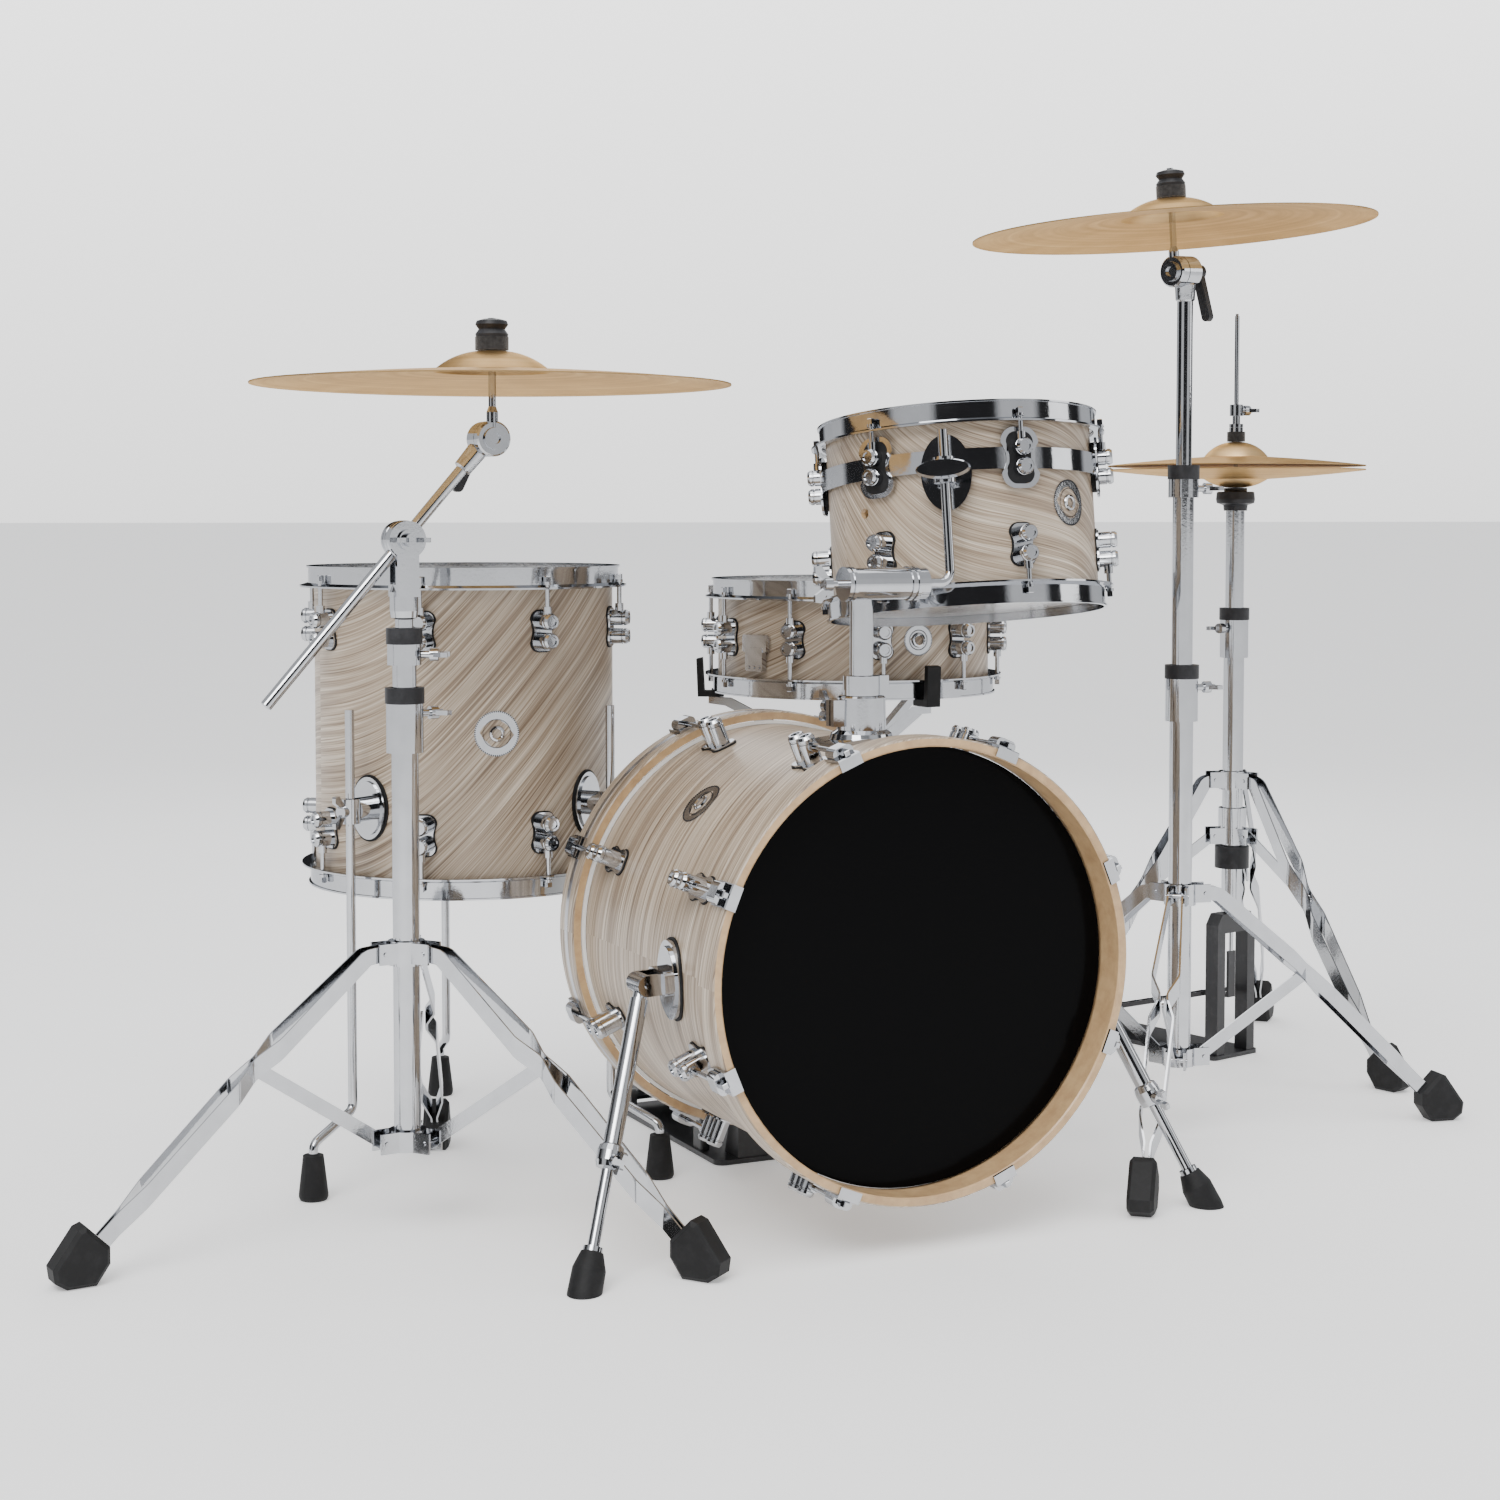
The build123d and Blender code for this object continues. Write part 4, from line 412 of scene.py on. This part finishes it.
def outside(drum, slack):
    """A test for faces on a drum's outer side."""
    inverse = np.array(drum["matrix"].inverted())

    def test(centres, normals):
        local = centres @ inverse[:3, :3].T + inverse[:3, 3]
        facing = normals @ inverse[:3, :3].T
        reach = np.hypot(local[:, 0], local[:, 1])
        outward = (facing[:, :2] * local[:, :2]).sum(axis=1) / np.maximum(reach, 1e-9)
        return (outward > 0.5) & (reach > drum["radius"] - slack)
    return test


# Everything is chrome at first, and the calls below give the other nodes their materials.
for node in NODES:
    paint(node, CHROME)

for drum_name, drum in DRUMS.items():
    paint_faces(f"{drum_name}_shell", MAPLE_PLY, WRAPS[drum_name], outside(drum, 2 * MM))
paint_faces("bass_hoops", MAPLE_HOOP, WRAPS["bass"], outside(DRUMS["bass"], 0.0))

bass_middle = DRUMS["bass"]["matrix"].translation.y
paint("bass_heads", COATED_FILM, (BLACK_FILM, lambda low, high: high[1] < bass_middle))
for drum_name in ("rack_tom", "floor_tom", "snare"):
    middle = DRUMS[drum_name]["matrix"].translation.z
    paint(f"{drum_name}_heads", COATED_FILM,
          (CLEAR_FILM, lambda low, high, z=middle: (low[2] + high[2]) / 2 < z))

SNARE_GRIPS_FROM = 0.515
YOKE_TOP = (0.15, 0.25)
ROD_FELT_WIDTH = (24 * MM, 26 * MM)
BEATER_FELT_REACH = 0.078
for node in ("bass_spur_left", "bass_spur_right", "floor_tom_legs", "crash_tripod",
             "ride_leg_1", "ride_leg_2", "ride_leg_3"):
    paint(node, CHROME, (RUBBER, foot))
for node in ("ride_base_tube", "ride_mid_tube", "crash_base_tube", "crash_mid_tube"):
    paint(node, CHROME, (NYLON, bushing))
for node in ("ride_tilter", "crash_tilter"):
    paint(node, CHROME, (FELT, tall(8, 17.9)), (NYLON, tall(18, 40)))
for node in ("ride_boom", "crash_top_tube"):
    paint(node, CHROME, (NYLON, tall(10, 110)))
paint("snare_stand", CHROME, (RUBBER, foot), (NYLON, bushing))
paint("snare_basket", CHROME, (RUBBER, lambda low, high: low[2] > SNARE_GRIPS_FROM))
paint("snare_wires", STEEL)
paint("hihat_frame", CHROME, (RUBBER, foot), (NYLON, bushing), (NYLON, tall(30, 32)),
      (BLACK_PAINT, lambda low, high: low[2] < 1 * MM and YOKE_TOP[0] < high[2] < YOKE_TOP[1]))
paint("hihat_upper_tube", CHROME, (NYLON, tall(20, 40)), (FELT, tall(2, 8)))
paint("hihat_rod", CHROME,
      (FELT, lambda low, high: ROD_FELT_WIDTH[0] < high[0] - low[0] < ROD_FELT_WIDTH[1]))
for node in ("hihat_footboard", "pedal_frame", "pedal_footboard"):
    paint(node, BLACK_PAINT)
for node, spin in (("ride_cymbal", "ride_spin"), ("crash_cymbal", "crash_spin")):
    paint(node, bronze(f"{node}_bronze", JOINTS[spin]["pos_m"], JOINTS[spin]["axis"]))
for node in ("hihat_top_cymbal", "hihat_bottom_cymbal"):
    low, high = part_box(node)
    paint(node, bronze(f"{node}_bronze", tuple((low + high) / 2), UP))
felt_from = Vector(JOINTS["beater_swing"]["pos_m"]).z + BEATER_FELT_REACH
paint_faces("pedal_beater", CHROME, BEATER_FELT,
            lambda centres, normals: centres[:, 2] > felt_from)


# ---------------------------------------------------------------- new pieces
SHARP_EDGE = math.radians(35)
LIFT = 0.1 * MM  # gap between a drum's side and the pieces on it


def piece(name, mesh_data, finish, body):
    """A mesh made from bmesh data as a named piece riding on a body."""
    mesh = bpy.data.meshes.new(name)
    mesh_data.to_mesh(mesh)
    mesh_data.free()
    mesh.materials.append(finish)
    mesh.shade_smooth()
    mesh.set_sharp_from_angle(angle=SHARP_EDGE)
    made = bpy.data.objects.new(name, mesh)
    bpy.context.scene.collection.objects.link(made)
    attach(made, body)


def lathe(target, place, outline, steps=48):
    """Turn a closed outline of (radius, height) points about a matrix's +Z into target."""
    turned = []
    for step in range(steps):
        angle = 2 * math.pi * step / steps
        turned.append([
            target.verts.new(place @ Vector((r * math.cos(angle), r * math.sin(angle), z)))
            for r, z in outline])
    for here, there in zip(turned, turned[1:] + turned[:1]):
        for a in range(len(outline)):
            b = (a + 1) % len(outline)
            target.faces.new([here[a], there[a], there[b], here[b]])
    bmesh.ops.recalc_face_normals(target, faces=target.faces[:])


def plate(target, place, outline, low, high, curve=0.0):
    """Extrude a closed outline of (x, y) points from low to high.

    curve bends the plate about Y, over that radius."""
    def bent(x, y, z):
        if not curve:
            return place @ Vector((x, y, z))
        angle = x / curve
        reach = curve + z
        return place @ Vector((reach * math.sin(angle), y, reach * math.cos(angle) - curve))
    bottom = [target.verts.new(bent(x, y, low)) for x, y in outline]
    top = [target.verts.new(bent(x, y, high)) for x, y in outline]
    target.faces.new(top)
    target.faces.new(list(reversed(bottom)))
    for a in range(len(outline)):
        b = (a + 1) % len(outline)
        target.faces.new([bottom[a], bottom[b], top[b], top[a]])


def hourglass(width, height, waist, steps=10):
    """Outline of a lug's base plate: rounded ends joined by sides that pull in to the waist."""
    corner = width * 0.36
    reach, side = width / 2 - corner, height / 2 - corner
    ends = []
    for centre_x, centre_y, start in ((reach, side, 0), (-reach, side, 90),
                                      (-reach, -side, 180), (reach, -side, 270)):
        arc = [math.radians(start + 90 * k / steps) for k in range(steps + 1)]
        ends.append([(centre_x + corner * math.cos(a), centre_y + corner * math.sin(a))
                     for a in arc])
    dips = [-side + 2 * side * k / steps for k in range(1, steps)]
    right = [(width / 2 - (width / 2 - waist) * math.cos(math.pi * y / (2 * side)), y)
             for y in dips]
    left = [(-x, y) for x, y in reversed(right)]
    return ends[0] + ends[1] + left + ends[2] + ends[3] + right


def oval(half_width, half_height, steps=40):
    turns = [2 * math.pi * k / steps for k in range(steps)]
    return [(half_width * math.cos(t), half_height * math.sin(t)) for t in turns]


def on_side(drum, angle, height):
    """Matrix on a drum's side: +Z outwards and +Y along the drum's axis."""
    turn = math.radians(angle)
    out = Vector((math.cos(turn), math.sin(turn), 0))
    x = Vector((-math.sin(turn), math.cos(turn), 0))
    axes = Matrix((x, Vector((0, 0, 1)), out)).transposed().to_4x4()
    shift = Matrix.Translation(out * drum["radius"] + Vector((0, 0, height)))
    return drum["matrix"] @ shift @ axes


def seats(name, drum, spots, body, outline, thick):
    """Black rubber plates at (angle, height) spots on a drum, curved to its side."""
    data = bmesh.new()
    for angle, height in spots:
        plate(data, on_side(drum, angle, height), outline, LIFT, thick, drum["radius"])
    piece(name, data, RUBBER, body)


def lug_spots(count, first, inset, half):
    """Spots of the lugs near both ends of a drum, count of them evenly round each."""
    step = 360 / count
    return [(first + step * k, side * (half - inset)) for k in range(count) for side in (1, -1)]


TOM_INSET = 54 * MM
DEEP_INSET = 62 * MM
LUG_PLATE = hourglass(31 * MM, 49 * MM, 12.6 * MM)
GASKET_THICK = 1.7 * MM
BASS, RACK_TOM, FLOOR_TOM, SNARE = (
    DRUMS[drum_name] for drum_name in ("bass", "rack_tom", "floor_tom", "snare"))
for name, drum, spots, body in (
        ("bass", BASS, lug_spots(8, 22.5, DEEP_INSET, BASS["half"]), "kit"),
        ("rack_tom", RACK_TOM, lug_spots(6, 25, TOM_INSET, RACK_TOM["half"]), "rack_tom"),
        ("floor_tom", FLOOR_TOM, lug_spots(8, 11, DEEP_INSET, FLOOR_TOM["half"]), "floor_tom"),
        ("snare", SNARE, [(2 + 36 * k, 0) for k in range(10)], "snare")):
    seats(f"{name}_lug_gaskets", drum, spots, body, LUG_PLATE, GASKET_THICK)

BADGE_DASHES = 64
VENT_HOLE = 5.4 * MM


def badge(name, drum, angle, body, radius=26 * MM):
    """Round metal badge with a vent grommet through it and two plain rings of dashes."""
    place = on_side(drum, angle, 0)
    data = bmesh.new()
    plate(data, place, oval(radius, radius, BADGE_DASHES), LIFT, 0.7 * MM, drum["radius"])
    piece(f"{name}_badge_plate", data, CHROME, body)
    rim = bmesh.new()
    for reach, width in ((radius - 0.8 * MM, 0.8 * MM), (radius * 0.62, 0.5 * MM)):
        for step in range(BADGE_DASHES):
            a, b = (2 * math.pi * (step + k) / BADGE_DASHES for k in (0, 0.5))
            outline = [((reach + s * width) * math.cos(t), (reach + s * width) * math.sin(t))
                       for s, t in ((-1, a), (1, a), (1, b), (-1, b))]
            plate(rim, place, outline, 0.6 * MM, 1.1 * MM, drum["radius"])
    piece(f"{name}_badge_rim", rim, NYLON, body)
    data = bmesh.new()
    profile = [(0, -5 * MM), (0, 1.4 * MM), (1.2 * MM, 2.2 * MM), (3.2 * MM, 1.8 * MM),
               (4 * MM, 0.2 * MM), (0.5 * MM, 0), (0.5 * MM, -5 * MM)]
    lathe(data, place @ Matrix.Translation((0, 0, 0.6 * MM)),
          [(VENT_HOLE + out, level) for out, level in profile])
    piece(f"{name}_vent_grommet", data, CHROME, body)


badge("bass", BASS, 135, "kit")
badge("rack_tom", RACK_TOM, -68, "rack_tom")
badge("floor_tom", FLOOR_TOM, -97, "floor_tom")
badge("snare", SNARE, -90, "snare", 20 * MM)

# Rubber pads under the spur brackets and the floor tom's leg brackets.
PAD_THICK = 2 * MM
spur_level = BASS["matrix"].translation.y - JOINTS["spur_left_fold"]["pos_m"][1]
seats("spur_bracket_pads", BASS, [(-3, spur_level), (183, spur_level)], "kit",
      oval(44.5 * MM, 29.5 * MM), PAD_THICK)
leg_low, leg_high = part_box("floor_tom_brackets")
leg_level = (leg_low.z + leg_high.z) / 2 - FLOOR_TOM["matrix"].translation.z
seats("leg_bracket_pads", FLOOR_TOM, [(angle, leg_level) for angle in (-146.5, -56.5, 78.5)],
      "floor_tom", oval(26.5 * MM, 38.5 * MM), PAD_THICK)

# The rear hoop's inlay strip, and the rubber that the rack tom's upper lugs sit in on its band.
hoop_low, hoop_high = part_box("bass_hoops")
hoop_radius = (hoop_high.x - hoop_low.x) / 2
strip_level = -BASS["half"] - 14.5 * MM
strip_top = hoop_radius + 0.25 * MM
strip = bmesh.new()
lathe(strip, BASS["matrix"] @ Matrix.Translation((0, 0, strip_level)),
      [(hoop_radius, -4.5 * MM), (strip_top, -4.2 * MM), (strip_top, 4.2 * MM),
       (hoop_radius, 4.5 * MM)], 160)
piece("rear_hoop_inlay", strip, STEEL, "kit")
lug_level = RACK_TOM["half"] - TOM_INSET
seats("rack_tom_isolators", RACK_TOM, [(angle, lug_level) for angle in (145, 205, 265, 325)],
      "rack_tom", hourglass(31.4 * MM, 57 * MM, 12.4 * MM), 8.4 * MM)

TREAD_COUNT = 9
TREAD_DEPTH = 2.6 * MM


def treads(name, place, length, width, body):
    """Raised grip bars on a footboard, whose top face is a matrix's XY plane, toe along +Y."""
    data = bmesh.new()
    for number in range(TREAD_COUNT):
        middle = length * (number + 0.5) / TREAD_COUNT
        bar = [(x, y + middle) for x, y in oval(width / 2, TREAD_DEPTH, 24)]
        plate(data, place, bar, -0.2 * MM, 1.2 * MM)
        crown = [(x * 0.96, middle + (y - middle) * 0.6) for x, y in bar]
        plate(data, place, crown, 1.1 * MM, 1.8 * MM)
    piece(name, data, RUBBER, body)


def board(pivot, outward, heel, toe):
    """Matrix on a footboard's top face, from (reach, height) points beside its heel pivot."""
    out = Vector(outward).normalized()
    start = Vector(pivot) + out * heel[0] + Vector((0, 0, heel[1]))
    end = Vector(pivot) + out * toe[0] + Vector((0, 0, toe[1]))
    y = (end - start).normalized()
    x = y.cross(Vector((0, 0, 1))).normalized()
    axes = Matrix((x, y, x.cross(y))).transposed().to_4x4()
    return Matrix.Translation(start) @ axes, (end - start).length


pedal_top, pedal_length = board(JOINTS["pedal_press"]["pos_m"], FORWARD, (18 * MM, 11 * MM),
                                (200 * MM, 97 * MM))
treads("pedal_treads", pedal_top, pedal_length, 50 * MM, "pedal_board")
hat_pivot = Vector(JOINTS["hihat_press"]["pos_m"])
hat_low, hat_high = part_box("hihat_top_cymbal")
stand_axis = (hat_low + hat_high) / 2
to_stand = Vector((stand_axis.x - hat_pivot.x, stand_axis.y - hat_pivot.y, 0))
hat_top, hat_length = board(hat_pivot, to_stand, (16 * MM, 9 * MM),
                            (to_stand.length - 31 * MM, 70 * MM))
treads("hihat_treads", hat_top, hat_length, 44 * MM, "hihat_board")


# ---------------------------------------------------------------- camera, floor and light
PHOTO_POSITION = (-1.3734, -2.7115, 0.762)
VIEW_LEVEL = (0.4258, 0.9048)
PITCH = math.radians(3)
FLOOR_SIZE = 400.0
FLOOR_DROP = 0.0005
FLOOR_GLOW = 0.36
# Name, position, target, size and power of each softbox.
SOFTBOXES = (
    ("key", (-2.6, -2.6, 3.2), (0, 0, 0.5), (2.2, 1.6), 85),
    ("fill", (3.4, -1.8, 2.2), (0, 0, 0.5), (1.6, 2.4), 30),
    ("top", (0.2, 0.4, 3.6), (0, 0, 0.4), (3.0, 3.0), 40),
    ("back", (1.5, 3.2, 2.4), (0, 0, 0.6), (2.6, 1.4), 30),
)
SUN_POWER = 1.7
SUN_SPREAD = math.radians(50)
SUN_DIRECTION = (0.35, 0.5, -1.0)
PANEL_WAVES = 4.0  # bright and dark panels round the room, seen only in reflections
DARK_WALL, BRIGHT_WALL = (0.03, 0.03, 0.032), (0.80, 0.81, 0.83)
CEILING = (0.72, 0.73, 0.75, 1)
BACKDROP_GAIN = 2.6


def aimed(name, data, direction):
    """A camera or lamp in the scene, looking along a direction."""
    made = bpy.data.objects.new(name, data)
    made.rotation_euler = Vector(direction).to_track_quat("-Z", "Y").to_euler()
    bpy.context.scene.collection.objects.link(made)
    return made


camera_data = bpy.data.cameras.new("camera")
camera_data.lens = 60
camera_data.sensor_width = 36
camera_data.shift_y = -0.0673
view = (VIEW_LEVEL[0] * math.cos(PITCH), VIEW_LEVEL[1] * math.cos(PITCH), -math.sin(PITCH))
camera = aimed("camera", camera_data, view)
camera.location = PHOTO_POSITION
bpy.context.scene.camera = camera

floor_mesh = bmesh.new()
bmesh.ops.create_grid(floor_mesh, x_segments=2, y_segments=2, size=FLOOR_SIZE)
floor_data = bpy.data.meshes.new("studio_floor")
floor_mesh.to_mesh(floor_data)
floor_mesh.free()
floor_finish, floor_tree, floor_shader = material(
    "studio_floor", Roughness=0.75, Emission_Color=(1, 1, 1, 1), Emission_Strength=FLOOR_GLOW)
speck = noise(floor_tree, object_space(floor_tree), scale=3.0, detail=3.0)
floor_shade = ramp(floor_tree, speck, (0.2, (0.90, 0.90, 0.90)), (0.8, (0.93, 0.93, 0.93)))
feed(floor_tree, floor_shader, Base_Color=floor_shade)
floor_data.materials.append(floor_finish)
floor = bpy.data.objects.new("studio_floor", floor_data)
floor.location.z = -FLOOR_DROP
bpy.context.scene.collection.objects.link(floor)

for name, position, target, size, power in SOFTBOXES:
    lamp_data = bpy.data.lights.new(name, "AREA")
    lamp_data.shape = "RECTANGLE"
    lamp_data.size, lamp_data.size_y = size
    lamp_data.energy = power
    lamp = aimed(name, lamp_data, Vector(target) - Vector(position))
    lamp.location = position
sun_data = bpy.data.lights.new("daylight", "SUN")
sun_data.energy = SUN_POWER
sun_data.angle = SUN_SPREAD
aimed("daylight", sun_data, SUN_DIRECTION)

world = bpy.data.worlds.new("studio")
world.use_nodes = True
sky = world.node_tree
gaze_x, gaze_y, gaze_z = add(
    sky, "ShaderNodeSeparateXYZ", {0: add(sky, "ShaderNodeTexCoord").outputs["Generated"]}).outputs
around = calc(sky, "ARCTAN2", gaze_y, gaze_x)
panels = spread(sky, calc(sky, "SINE", calc(sky, "MULTIPLY", around, PANEL_WAVES)), 0.2, 1.0)
walls = ramp(sky, panels, (0.25, DARK_WALL), (0.62, BRIGHT_WALL))
overhead = ramp(sky, gaze_z, (0.38, (0, 0, 0)), (0.66, (1, 1, 1)))
backdrop = ramp(sky, gaze_z, (0.0, (0.70, 0.70, 0.70)), (0.20, (1.0, 1.0, 1.0)))
bright = add(sky, "ShaderNodeVectorMath", {0: backdrop, "Scale": BACKDROP_GAIN},
             operation="SCALE").outputs["Vector"]
seen = add(sky, "ShaderNodeLightPath").outputs["Is Camera Ray"]
mixed = mix(sky, seen, mix(sky, overhead, walls, CEILING), bright)
sky.links.new(mixed, sky.nodes["Background"].inputs["Color"])
sky.nodes["Background"].inputs["Strength"].default_value = 1.0
bpy.context.scene.world = world
